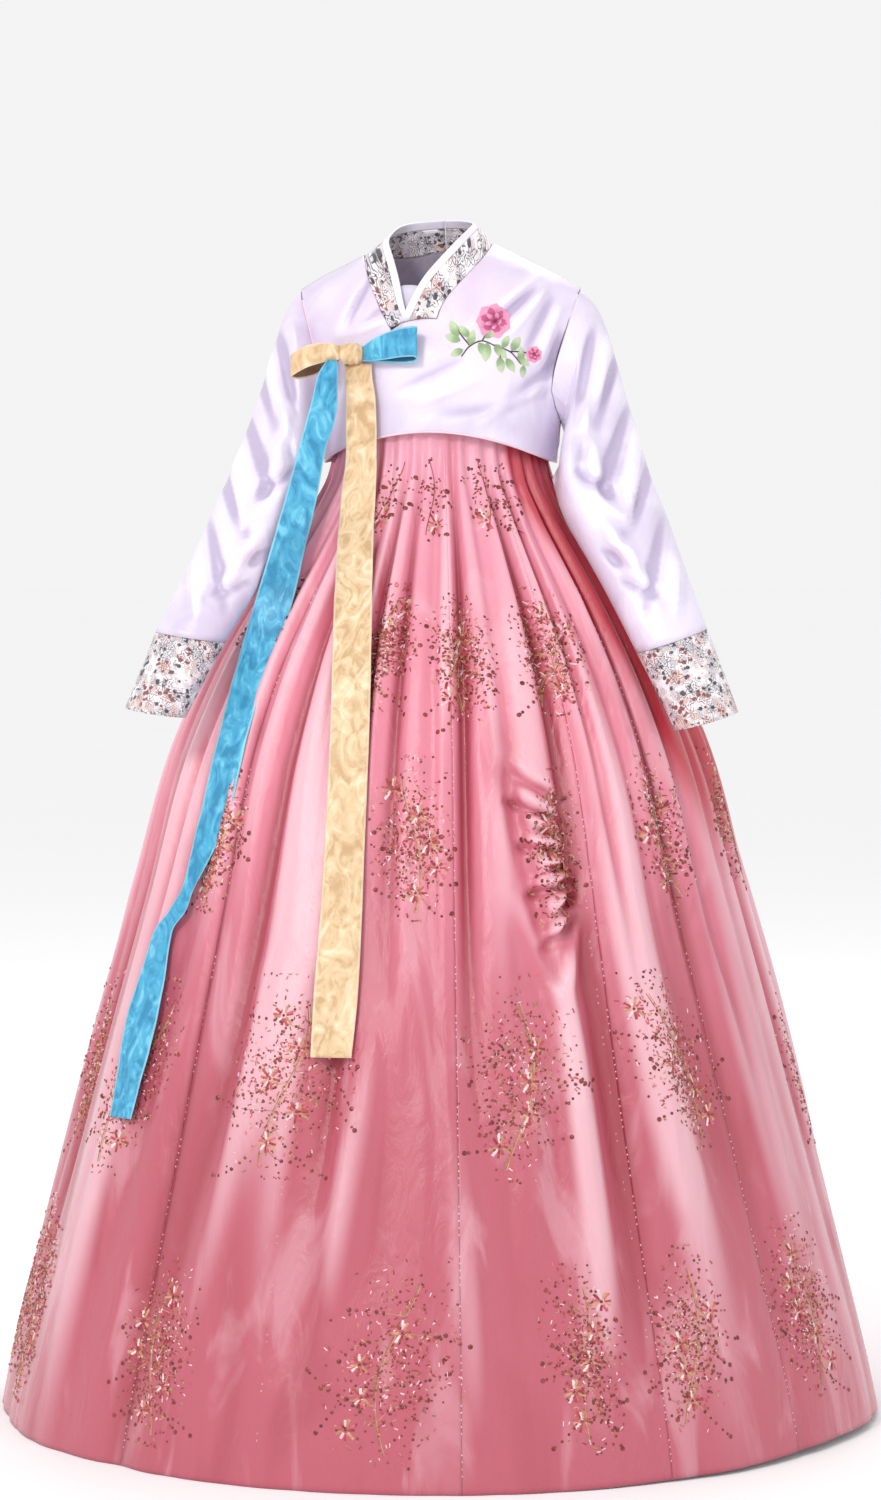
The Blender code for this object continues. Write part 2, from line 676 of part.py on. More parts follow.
def build_backs(neck_sides, material):
    """Make both back panels and return their turned outer grids."""
    grids = {}
    for name, end in (("jacket_back_left", 1.0), ("jacket_back_right", -1.0)):
        neck_side = neck_sides[name]
        stop_top = end * look_up(ARMHOLE, 1.0)
        points = np.zeros((len(JACKET_ROWS), BACK_COLUMNS + 1, 3))
        for index, row in enumerate(JACKET_ROWS):
            stop = end * look_up(ARMHOLE, row)
            for column in range(BACK_COLUMNS + 1):
                if column <= BACK_NECK_COLUMNS:
                    top = neck_side * column / BACK_NECK_COLUMNS
                else:
                    beyond = (column - BACK_NECK_COLUMNS) / (BACK_COLUMNS - BACK_NECK_COLUMNS)
                    top = neck_side + (stop_top - neck_side) * beyond
                side = top * stop / stop_top
                drop = max(0.0, 1.0 - abs(top / neck_side))
                scoop = min(1.0, BACK_NECK_FULLNESS * drop) ** BACK_NECK_ROUNDNESS
                neck_row = 1.0 - (1.0 - back_neck_row()) * scoop
                points[index, column] = body_point(side, row * neck_row, back=True)
        points[:, 0, 0] = 0.0
        points[:, -1][np.abs(points[:, -1, 1]) < ON_PLANE, 1] = 0.0
        points[-1, BACK_NECK_COLUMNS:, 1] = 0.0
        grids[name] = jacket_wall(name, points, True, material)
    return grids


def back_neck_row():
    """The row value at which the centre back reaches the neck edge."""
    rise = look_up(SHOULDER_RIDGE, 0.0) - HEM_HEIGHT
    return (BACK_NECK_HEIGHT - HEM_HEIGHT) / rise


def sleeve_ring(row, count):
    """Points of one sleeve ring, from the outer point forward and round."""
    outer = np.array(row[0:3])
    inner = np.array(row[3:6])
    half_depth, lean = row[6], row[7]
    centre = (outer + inner) / 2.0
    reach = outer - centre
    forward = np.array((0.0, -1.0, 0.0))
    unit = reach / np.linalg.norm(reach)
    forward -= unit * np.dot(forward, unit)
    forward /= np.linalg.norm(forward)
    inward = -np.sign(outer[0]) * np.array((1.0, 0.0, 0.0))
    points = np.zeros((count, 3))
    for index in range(count):
        angle = 2.0 * pi * index / count
        ahead = max(0.0, sin(angle))
        points[index] = centre + reach * cos(angle) + forward * half_depth * sin(angle)
        points[index] += inward * lean * ahead ** SLEEVE_LEAN_POWER
    return points


def armhole_ring(front, back):
    """Points of the armhole from the shoulder down the front, under the arm and up the back."""
    down = front[UNDERARM_ROW:, -1][::-1]
    up = back[UNDERARM_ROW:, -1]
    ring = np.concatenate([down, up[1:-1]])
    ring[0] = (front[-1, -1] + back[-1, -1]) / 2.0
    ring[len(down) - 1] = (front[UNDERARM_ROW, -1] + back[UNDERARM_ROW, -1]) / 2.0
    return ring


def build_sleeve(name, front, back, rows, material):
    """Make one sleeve from the armhole to the cuff."""
    ring = armhole_ring(front, back)
    count = len(ring)
    outward = np.array((np.sign(rows[0][0]), 0.0, 0.0))
    first = ring + outward * 2.0 * SEAM_GAP
    first[count // 2] += np.array((0.0, 0.0, 2.0 * SEAM_GAP))
    outer = np.array([first] + [sleeve_ring(row, count) for row in rows])
    normals = grid_normals(outer, wrap_columns=True)
    centres = outer.mean(axis=1, keepdims=True)
    facing = np.sign(np.einsum("ijk,ijk->ij", normals, outer - centres).mean())
    normals *= facing
    radial = first - first.mean(axis=0)
    radial[:, 0] = 0.0
    normals[0] = radial / np.linalg.norm(radial, axis=1, keepdims=True)
    make_wall(name, outer, outer - CLOTH * normals, material, wrap=True)
    return outer


def build_cuff(name, rows, count, material):
    """Make one cuff, a short tapering tube."""
    outer = np.array([sleeve_ring(row, count) for row in rows])
    normals = grid_normals(outer, wrap_columns=True)
    centres = outer.mean(axis=1, keepdims=True)
    facing = np.sign(np.einsum("ijk,ijk->ij", normals, outer - centres).mean())
    make_wall(name, outer, outer - COLLAR_CLOTH * facing * normals, material, wrap=True)


def collar_stations(front, back, inner_table, column):
    """Pairs of outer and inner edge points from the front end of a collar to the centre back."""
    pairs = []
    for index in range(NOTCH_ROW, len(JACKET_ROWS)):
        outer = front[index, column]
        inner = [look_up(inner_table, outer[2], place) for place in (1, 2, 3)]
        pairs.append((outer.copy(), np.array(inner)))
    for place in range(BACK_NECK_COLUMNS - 1, -1, -1):
        outer = back[-1, place]
        inner = [look_up(BACK_COLLAR_INNER, outer[0], axis) for axis in (1, 2, 3)]
        pairs.append((outer.copy(), np.array(inner)))
    return pairs


def build_collar(side, pairs, collar_material, edging_material):
    """Make a collar strip and the narrow edging along its inner edge."""
    across = np.linspace(0.0, 1.0, COLLAR_CELLS + 1)
    grid = np.zeros((len(pairs), len(across), 3))
    for index, (outer, inner) in enumerate(pairs):
        toward = (inner - outer) / np.linalg.norm(inner - outer)
        start = outer + toward * COLLAR_SEAM
        for place, share in enumerate(across):
            grid[index, place] = start + (inner - start) * share
    normals = grid_normals(grid)
    middle = np.array(COLLAR_MIDDLE)
    facing = np.sign(np.einsum("ijk,ijk->ij", normals, grid - middle).mean())
    normals *= facing
    for place, share in enumerate(across):
        bulge = COLLAR_BULGE if side == "left" else UNDER_COLLAR_BULGE
        grid[:, place] += normals[:, place] * bulge * 4.0 * share * (1.0 - share)
    if side == "left":
        row = JACKET_ROWS[NOTCH_ROW]
        for place, share in enumerate(across):
            x = COLLAR_CORNER_X - 2.0 * SEAM_GAP + (COLLAR_END_X - COLLAR_CORNER_X) * share
            grid[0, place] = turned(front_point(side_at(row, x, False), row))
        grid[0, :, 2] += 3.0 * SEAM_GAP
        normals = grid_normals(grid) * facing
    normals[-1, :, 0] = 0.0
    normals /= np.linalg.norm(normals, axis=2, keepdims=True)
    inner_face = grid - COLLAR_CLOTH * normals
    split = 1.0 - EDGING_SHARE
    gap = SEAM_GAP / COLLAR_WIDTH
    for name, low, high, count, material in (
            (f"collar_{side}", 0.0, split - gap, COLLAR_COLUMNS, collar_material),
            (f"collar_edging_{side}", split, 1.0, EDGING_COLUMNS, edging_material)):
        shares = np.linspace(low, high, count + 1)
        outside = resample(grid, across, shares)
        inside = resample(inner_face, across, shares)
        make_wall(name, outside, inside, material)
    return grid


def resample(grid, known, wanted):
    """Read a grid at other shares of its width."""
    out = np.zeros((grid.shape[0], len(wanted), 3))
    for row in range(grid.shape[0]):
        for axis in range(3):
            out[row, :, axis] = np.interp(wanted, known, grid[row, :, axis])
    return out


def build_band(material):
    """Make the inner chest band that the skirt hangs from, its front rising into the neck opening."""
    outer = np.zeros((BAND_ROWS, BAND_COLUMNS, 3))
    bottom = SKIRT_PROFILE[0][0] + SEAM_GAP
    for column in range(BAND_COLUMNS):
        turn = 4.0 * column / BAND_COLUMNS
        back = 1.0 < turn < 3.0
        side = turn if turn <= 1.0 else (2.0 - turn if turn < 3.0 else turn - 4.0)
        middle = turned(body_point(side, BAND_BODY_ROW, back=back, inset=BAND_INSET))
        top = BAND_SIDE_TOP
        if not back:
            away = (middle[0] - BAND_TONGUE_MIDDLE) / BAND_TONGUE_HALF_WIDTH
            top += (BAND_TONGUE_TOP - BAND_SIDE_TOP) * np.exp(-abs(away) ** BAND_TONGUE_SQUARENESS)
        for index in range(BAND_ROWS):
            height = bottom + (top - bottom) * index / (BAND_ROWS - 1)
            outer[index, column] = band_point(side, height, back)
    normals = grid_normals(outer, wrap_columns=True)
    facing = np.sign(np.einsum("ijk,ijk->ij", normals[..., :2], outer[..., :2]).mean())
    inner = outer - CLOTH * facing * normals
    inner[0, :, 2] = outer[0, :, 2]
    make_wall("skirt_band", outer, inner, material, wrap=True)


def band_point(side, height, back):
    """A turned point of the band at a height, found by halving along the body."""
    low, high = 0.0, 1.0
    for _ in range(HALVINGS):
        row = (low + high) / 2.0
        place = body_point(side, row, back=back, inset=BAND_INSET)
        if place[2] < height:
            low = row
        else:
            high = row
    place[2] = height
    return turned(place)


def build_strip(name, left, right, material):
    """Make a ribbon from matching lists of points along its two edges."""
    left = np.array(left)
    right = np.array(right)
    outer = np.stack([left, (left + right) / 2.0, right], axis=1)
    normals = grid_normals(outer)
    make_wall(name, outer, outer - RIBBON_CLOTH * normals, material)


def build_loop(name, rows, material):
    """Make one bow loop, a flat ribbon that runs out, turns back and returns to the knot."""
    low = [(x, y, height - half) for x, y, height, half in rows]
    high = [(x, y, height + half) for x, y, height, half in rows]
    build_strip(name, low, high, material)


def build_tail(name, rows, material):
    """Make one hanging ribbon tail."""
    right = [(row[1], row[2], row[0]) for row in rows]
    left = [(row[3], row[4], row[0]) for row in rows]
    build_strip(name, left, right, material)


def build_knot(material):
    """Make the knot, a rounded block of wrapped ribbon."""
    vertices = [(0.0, 0.0, 1.0)]
    for row in range(1, KNOT_ROWS):
        polar = pi * row / KNOT_ROWS
        for column in range(KNOT_COLUMNS):
            around = 2.0 * pi * column / KNOT_COLUMNS
            raw = (sin(polar) * cos(around), sin(polar) * sin(around), cos(polar))
            vertices.append(tuple(np.sign(part) * abs(part) ** KNOT_SQUARENESS for part in raw))
    vertices.append((0.0, 0.0, -1.0))
    points = np.array(vertices) * np.array(KNOT_HALF) + np.array(KNOT_CENTRE)
    triangles = []
    last = len(vertices) - 1
    for column in range(KNOT_COLUMNS):
        after = (column + 1) % KNOT_COLUMNS
        triangles.append((0, 1 + column, 1 + after))
        triangles.append((last, last - KNOT_COLUMNS + after, last - KNOT_COLUMNS + column))
        for row in range(KNOT_ROWS - 2):
            near = 1 + row * KNOT_COLUMNS
            far = near + KNOT_COLUMNS
            triangles.append((near + column, far + column, far + after))
            triangles.append((near + column, far + after, near + after))
    make_object("ribbon_knot", points, triangles, material)


def main():
    """Clear the scene and build every piece of the garment."""
    for item in list(bpy.data.objects):
        bpy.data.objects.remove(item, do_unlink=True)
    jacket = make_material("jacket_satin", (0.79, 0.72, 0.86), 0.42)
    skirt = make_material("skirt_satin", (0.62, 0.22, 0.27), 0.38)
    brocade = make_material("collar_brocade", (0.60, 0.55, 0.54), 0.50)
    edging = make_material("collar_edging", (0.87, 0.84, 0.90), 0.45)
    band = make_material("band_cotton", (0.80, 0.76, 0.87), 0.65)
    blue = make_material("ribbon_blue", (0.10, 0.47, 0.66), 0.45)
    gold = make_material("ribbon_gold", (0.76, 0.55, 0.34), 0.45)

    build_skirt(skirt)
    build_band(band)
    fronts = build_fronts(jacket)
    neck_sides = {
        "jacket_back_left": edge_side(1.0, OVER_EDGE, False),
        "jacket_back_right": edge_side(1.0, UNDER_EDGE, True),
    }
    backs = build_backs(neck_sides, jacket)
    left_front, right_front = fronts["jacket_front_left"], fronts["jacket_front_right"]
    left_back, right_back = backs["jacket_back_left"], backs["jacket_back_right"]
    left = build_sleeve("sleeve_left", left_front, left_back, LEFT_SLEEVE, jacket)
    right = build_sleeve("sleeve_right", right_front, right_back, RIGHT_SLEEVE, jacket)
    build_cuff("cuff_left", LEFT_CUFF, left.shape[1], brocade)
    build_cuff("cuff_right", RIGHT_CUFF, right.shape[1], brocade)
    over = collar_stations(left_front, left_back, OVER_COLLAR_INNER, NOTCH_COLUMNS)
    under = collar_stations(right_front, right_back, UNDER_COLLAR_INNER, 0)
    build_collar("left", over, brocade, edging)
    build_collar("right", under, brocade, edging)
    build_knot(gold)
    build_loop("ribbon_loop_blue", BLUE_LOOP, blue)
    build_loop("ribbon_loop_gold", GOLD_LOOP, gold)
    build_tail("ribbon_tail_gold", GOLD_TAIL, gold)
    build_tail("ribbon_tail_blue", BLUE_TAIL, blue)


main()
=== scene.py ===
"""Dressing of a Korean hanbok: wrapped satin jacket, gathered skirt and two-colour ribbon bow.

Lengths are metres in the row frame, with the origin at the base of the neck, +Z up, -Y the front and +X the
left side of the garment. Tables give heights above the skirt hem, as a cutter would measure them.
"""

import json
import logging
import math
from dataclasses import dataclass, field, replace
from enum import Enum
from typing import Callable, Sequence

import bmesh
import bpy
import numpy as np
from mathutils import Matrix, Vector
from mathutils.bvhtree import BVHTree

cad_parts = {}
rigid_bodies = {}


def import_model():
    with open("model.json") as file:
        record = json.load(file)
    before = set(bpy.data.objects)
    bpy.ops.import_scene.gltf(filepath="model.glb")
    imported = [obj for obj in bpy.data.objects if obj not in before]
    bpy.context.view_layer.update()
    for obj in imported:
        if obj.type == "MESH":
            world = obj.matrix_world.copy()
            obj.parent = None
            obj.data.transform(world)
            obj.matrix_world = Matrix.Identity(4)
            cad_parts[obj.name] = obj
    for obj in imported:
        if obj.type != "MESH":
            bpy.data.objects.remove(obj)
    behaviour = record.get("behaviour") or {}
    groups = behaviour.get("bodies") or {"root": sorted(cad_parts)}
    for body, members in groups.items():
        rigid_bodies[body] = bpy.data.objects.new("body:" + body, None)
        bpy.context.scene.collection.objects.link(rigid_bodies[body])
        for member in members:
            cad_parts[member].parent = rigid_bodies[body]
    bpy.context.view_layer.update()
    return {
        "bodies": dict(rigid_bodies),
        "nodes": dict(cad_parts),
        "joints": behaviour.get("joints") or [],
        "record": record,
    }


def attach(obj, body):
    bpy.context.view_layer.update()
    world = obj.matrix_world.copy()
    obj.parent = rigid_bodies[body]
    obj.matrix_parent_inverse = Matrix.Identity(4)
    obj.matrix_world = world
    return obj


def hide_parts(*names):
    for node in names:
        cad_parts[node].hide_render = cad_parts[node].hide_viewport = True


LOG = logging.getLogger("hanbok")
HOLD_HEIGHT = 1.36
"""Height above the hem of the point where the garment is held."""
SMALLEST = 1e-9
"""Length that keeps a division away from zero."""

Material = bpy.types.Material
Piece = bpy.types.Object
Colour = tuple[float, float, float]
Pair = tuple[float, float]
Table = tuple[tuple[float, ...], ...]
Point = tuple[float, float, float]
CreaseRow = tuple[float, float, float, float, float, float]
SprayRow = tuple[float, float, float, float, float]
Rows = Sequence[Sequence[float]]
Met = tuple[np.ndarray, np.ndarray]
Chance = np.random.Generator
Offset = Callable[[np.ndarray], tuple[np.ndarray, np.ndarray]]


class Side(Enum):
    """The two sides of the garment; its left is where X is positive."""

    LEFT = 1
    RIGHT = -1


class Lay(Enum):
    HUNG = "hung"
    GATHERED = "gathered"
    FOLDED = "folded"


def colour(red: float, green: float, blue: float) -> Colour:
    """Turn a colour of 0 to 255 as seen on a screen into linear light.

    Args:
        red: red value.
        green: green value.
        blue: blue value.

    Returns:
        The linear colour.
    """
    offset, power, dark_limit, dark_scale = 0.055, 2.4, 10, 3294.6

    def linear(part: float) -> float:
        """Turn one value into linear light.

        Args:
            part: the value.

        Returns:
            Its linear light.
        """
        if part > dark_limit:
            return ((part / 255.0 + offset) / (1.0 + offset)) ** power
        return part / dark_scale
    return linear(red), linear(green), linear(blue)


def unit(vectors: np.ndarray) -> np.ndarray:
    """Scale vectors to a length of 1."""
    return vectors / np.maximum(np.linalg.norm(vectors, axis=-1, keepdims=True), SMALLEST)


def through(rows: Rows, at: np.ndarray) -> np.ndarray:
    """Read a table along a smooth curve that never overshoots its rows.

    Args:
        rows: rows whose first value is the place along the table.
        at: places to read.

    Returns:
        One row of the remaining columns for each place.
    """
    data = np.array(rows, dtype=float)
    data = data[np.argsort(data[:, 0])]
    places, values = data[:, 0], data[:, 1:]
    at = np.clip(np.asarray(at, dtype=float), places[0], places[-1])
    step = np.diff(places)[:, None]
    rise = np.diff(values, axis=0) / step
    slope = np.zeros_like(values)
    same = rise[:-1] * rise[1:] > 0.0
    both = np.where(same, rise[:-1] + rise[1:], 1.0)
    slope[1:-1] = np.where(same, 2.0 * rise[:-1] * rise[1:] / both, 0.0)
    slope[0], slope[-1] = rise[0], rise[-1]
    low = np.clip(np.searchsorted(places, at) - 1, 0, len(places) - 2)
    share = ((at - places[low]) / step[low, 0])[..., None]
    width = step[low]
    square, cube = share ** 2, share ** 3
    return ((2 * cube - 3 * square + 1) * values[low] + (cube - 2 * square + share) * width * slope[low]
            + (3 * square - 2 * cube) * values[low + 1] + (cube - square) * width * slope[low + 1])


def ease(value: np.ndarray, low: float, high: float) -> np.ndarray:
    """Rise from 0 at low to 1 at high with level ends."""
    share = np.clip((value - low) / (high - low), 0.0, 1.0)
    return share * share * (3.0 - 2.0 * share)


@dataclass(frozen=True)
class Crease:
    """One soft crease on a stretch of cloth: a trough below 0 or a ridge above it."""

    start: Pair
    end: Pair
    width: float
    depth: float
    taper_power: float = 2.5
    taper_share: float = 0.75
    lip_place: float = 1.5
    lip_width: float = 1.3
    lip_share: float = 0.4

    def relief(self, across: np.ndarray, up: np.ndarray) -> np.ndarray:
        """Height of the crease at points of the cloth.

        Args:
            across: sideways places in metres.
            up: upward places in metres.

        Returns:
            Offset along the outward direction.
        """
        run = np.array(self.end) - np.array(self.start)
        length = max(float(np.hypot(*run)), SMALLEST)
        way = run / length
        dx, dy = across - self.start[0], up - self.start[1]
        along = (dx * way[0] + dy * way[1]) / length
        aside = dx * -way[1] + dy * way[0]
        beyond = np.clip(np.abs(along - 0.5) - 0.5, 0.0, None) * length
        taper = np.clip(1.0 - np.abs(2.0 * along - 1.0) ** self.taper_power * self.taper_share, 0.0, 1.0)
        core = np.exp(-(aside ** 2 + beyond ** 2) / self.width ** 2)
        lip_aside = aside - self.lip_place * self.width
        lip = np.exp(-(lip_aside ** 2 + beyond ** 2) / (self.lip_width * self.width) ** 2)
        return self.depth * taper * (core - self.lip_share * lip)


def relief_of(creases: Sequence[CreaseRow], across: np.ndarray, up: np.ndarray) -> np.ndarray:
    """Sum the relief of several creases.

    Args:
        creases: rows of both ends, width and depth.
        across: sideways places in metres.
        up: upward places in metres.

    Returns:
        Offset along the outward direction.
    """
    total = np.zeros_like(across)
    for x_1, up_1, x_2, up_2, width, depth in creases:
        total += Crease((x_1, up_1), (x_2, up_2), width, depth).relief(across, up)
    return total


class Bench:
    """Lays out the nodes of one material."""

    def __init__(self, name: str) -> None:
        """Start a material with a principled shader.

        Args:
            name: name of the material.
        """
        self.material = bpy.data.materials.new(name)
        self.material.use_nodes = True
        self.tree = self.material.node_tree
        self.shader = self.tree.nodes["Principled BSDF"]
        self.place = self.tree.nodes.new("ShaderNodeTexCoord").outputs["Object"]

    def set(self, **values: object) -> None:
        """Set plain values on the shader's own sockets."""
        for name, value in values.items():
            self.shader.inputs[name.replace("_", " ")].default_value = value

    def link(self, source: object, target: object) -> None:
        """Join two sockets."""
        self.tree.links.new(source, target)

    def feed(self, value: object, socket: object) -> None:
        """Put a socket or a plain number on an input.

        Args:
            value: an output socket or a number.
            socket: the input.
        """
        if isinstance(value, bpy.types.NodeSocket):
            self.link(value, socket)
        else:
            socket.default_value = value

    def math(self, operation: str, first: object, second: object = 0.0, third: object = 0.0) -> object:
        """Add a math node.

        Args:
            operation: the operation's name.
            first: first value or socket.
            second: second value or socket.
            third: third value or socket.

        Returns:
            The result's socket.
        """
        node = self.tree.nodes.new("ShaderNodeMath")
        node.operation = operation
        for value, socket in zip((first, second, third), node.inputs):
            self.feed(value, socket)
        return node.outputs[0]

    def mix(self, share: object, first: object, second: object) -> object:
        """Blend two colours.

        Args:
            share: share of the second colour.
            first: first colour or socket.
            second: second colour or socket.

        Returns:
            The colour's socket.
        """
        node = self.tree.nodes.new("ShaderNodeMix")
        node.data_type = "RGBA"
        self.feed(share, node.inputs[0])
        for value, socket in ((first, node.inputs[6]), (second, node.inputs[7])):
            self.feed((*value, 1.0) if isinstance(value, tuple) and len(value) == 3 else value, socket)
        return node.outputs[2]

    def ramp(self, value: object, low: float, high: float) -> object:
        """Map a value smoothly to 0..1 between two limits.

        Args:
            value: socket to map.
            low: value that maps to 0.
            high: value that maps to 1.

        Returns:
            The mapped socket.
        """
        node = self.tree.nodes.new("ShaderNodeMapRange")
        node.interpolation_type = "SMOOTHSTEP"
        self.feed(value, node.inputs["Value"])
        node.inputs["From Min"].default_value = low
        node.inputs["From Max"].default_value = high
        return node.outputs["Result"]

    def scaled(self, scale: tuple[float, float, float]) -> object:
        """Scale the object's own coordinates.

        Args:
            scale: scale along each axis.

        Returns:
            The scaled coordinates' socket.
        """
        node = self.tree.nodes.new("ShaderNodeMapping")
        self.link(self.place, node.inputs["Vector"])
        node.inputs["Scale"].default_value = scale
        return node.outputs["Vector"]

    def noise(self, scale: float, place: object = None, detail: float = 3.0, warp: float = 0.0) -> object:
        """Add a noise texture.

        Args:
            scale: scale of the noise.
            place: coordinates, or none for the object's.
            detail: number of finer layers.
            warp: how far the noise distorts itself.

        Returns:
            The noise value's socket.
        """
        node = self.tree.nodes.new("ShaderNodeTexNoise")
        self.link(place or self.place, node.inputs["Vector"])
        node.inputs["Scale"].default_value = scale
        node.inputs["Detail"].default_value = detail
        node.inputs["Distortion"].default_value = warp
        return node.outputs["Fac"]

    def axis(self, name: str, place: object = None) -> object:
        """Pick one axis of some coordinates.

        Args:
            name: X, Y or Z.
            place: coordinates, or none for the object's.

        Returns:
            The axis' socket.
        """
        node = self.tree.nodes.new("ShaderNodeSeparateXYZ")
        self.link(place or self.place, node.inputs[0])
        return node.outputs[name]

    def uv(self, layer: str = "layout") -> object:
        """Coordinates of one of the cloth's own layouts.

        Args:
            layer: name of the layout.

        Returns:
            The coordinates' socket.
        """
        node = self.tree.nodes.new("ShaderNodeUVMap")
        node.uv_map = layer
        return node.outputs["UV"]

    def tint(self, base: object, tone: object, value: object, limits: Pair,
             share: float = 1.0) -> object:
        """Lay a second colour where a value rises between two limits."""
        amount = self.ramp(value, *limits)
        return self.mix(self.math("MULTIPLY", amount, share) if share < 1.0 else amount, base, tone)

    def fold_shade_and_highlight(self, base: object, trough: Colour, ridge: Colour, shares: Pair) -> object:
        """Paint shade into the troughs of a folded cloth and paint highlights on its ridges.

        Args:
            base: the cloth's colour.
            trough: colour of the painted shade in the troughs.
            ridge: colour of the painted highlight on the ridges.
            shares: how much of each shows.

        Returns:
            The colour's socket.
        """
        fold = self.axis("X", self.uv("fold"))
        base = self.tint(base, trough, fold, (0.46, 0.08), shares[0])
        return self.tint(base, ridge, fold, (0.56, 0.92), shares[1])

    def gloss(self, value: object, middle: float, swing: float) -> None:
        """Let the roughness follow a value."""
        rough = self.math("MULTIPLY_ADD", value, swing, middle - swing / 2.0)
        self.feed(rough, self.shader.inputs["Roughness"])

    def paint(self, base: object) -> None:
        """Put a colour or a socket on the base colour."""
        self.feed((*base, 1.0) if isinstance(base, tuple) else base, self.shader.inputs["Base Color"])

    def emboss(self, height: object, strength: float, distance: float) -> None:
        """Bump the surface.

        Args:
            height: height socket.
            strength: strength of the bump.
            distance: real depth of the bump.
        """
        node = self.tree.nodes.new("ShaderNodeBump")
        node.inputs["Strength"].default_value = strength
        node.inputs["Distance"].default_value = distance
        self.link(height, node.inputs["Height"])
        self.link(node.outputs["Normal"], self.shader.inputs["Normal"])

    def weave(self, pitch: float) -> object:
        """Height of a fine crossing weave.

        Args:
            pitch: threads to the metre.

        Returns:
            The height's socket.
        """
        total = None
        for direction in ("X", "Z"):
            node = self.tree.nodes.new("ShaderNodeTexWave")
            node.bands_direction = direction
            node.inputs["Scale"].default_value = pitch
            node.inputs["Distortion"].default_value = 0.4
            self.link(self.place, node.inputs["Vector"])
            total = node.outputs["Fac"] if total is None else self.math("ADD", total, node.outputs["Fac"])
        return total


@dataclass(frozen=True)
class JacketSatin:
    """Pale lilac-white satin with a soft crushed sheen."""

    name: str = "jacket_satin_cloth"
    light: Colour = colour(235, 226, 246)
    shade: Colour = colour(212, 199, 224)
    blush: Colour = colour(236, 210, 230)
    # The next three: colours and shares of the painted shade in the crease troughs and the painted highlight
    # on their ridges.
    trough: Colour = colour(176, 160, 194)
    ridge: Colour = colour(252, 244, 254)
    fold_shade_and_highlight_shares: Pair = (0.75, 0.85)
    threads: float = 420.0
    bump: float = 0.28
    bump_depth: float = 0.005
    roughness: float = 0.28
    roughness_swing: float = 0.18

    def make(self) -> Material:
        """Lay out the satin.

        Returns:
            The material.
        """
        bench = Bench(self.name)
        cloud = bench.noise(7.0, detail=3.0, warp=0.8)
        base = bench.tint(self.light, self.shade, cloud, (0.38, 0.68))
        base = bench.tint(base, self.blush, bench.noise(3.2, detail=1.0), (0.50, 0.75), 0.45)
        # Painted shade in the crease troughs and painted highlight on the ridges.
        bench.paint(bench.fold_shade_and_highlight(base, self.trough, self.ridge, self.fold_shade_and_highlight_shares))
        crush = bench.noise(34.0, bench.scaled((1.0, 1.0, 0.45)), detail=4.0, warp=1.4)
        height = bench.math("MULTIPLY_ADD", bench.weave(self.threads), 0.03, crush)
        bench.emboss(height, self.bump, self.bump_depth)
        bench.gloss(cloud, self.roughness, self.roughness_swing)
        bench.set(Sheen_Weight=0.2, Sheen_Roughness=0.35, Specular_IOR_Level=0.9)
        return bench.material


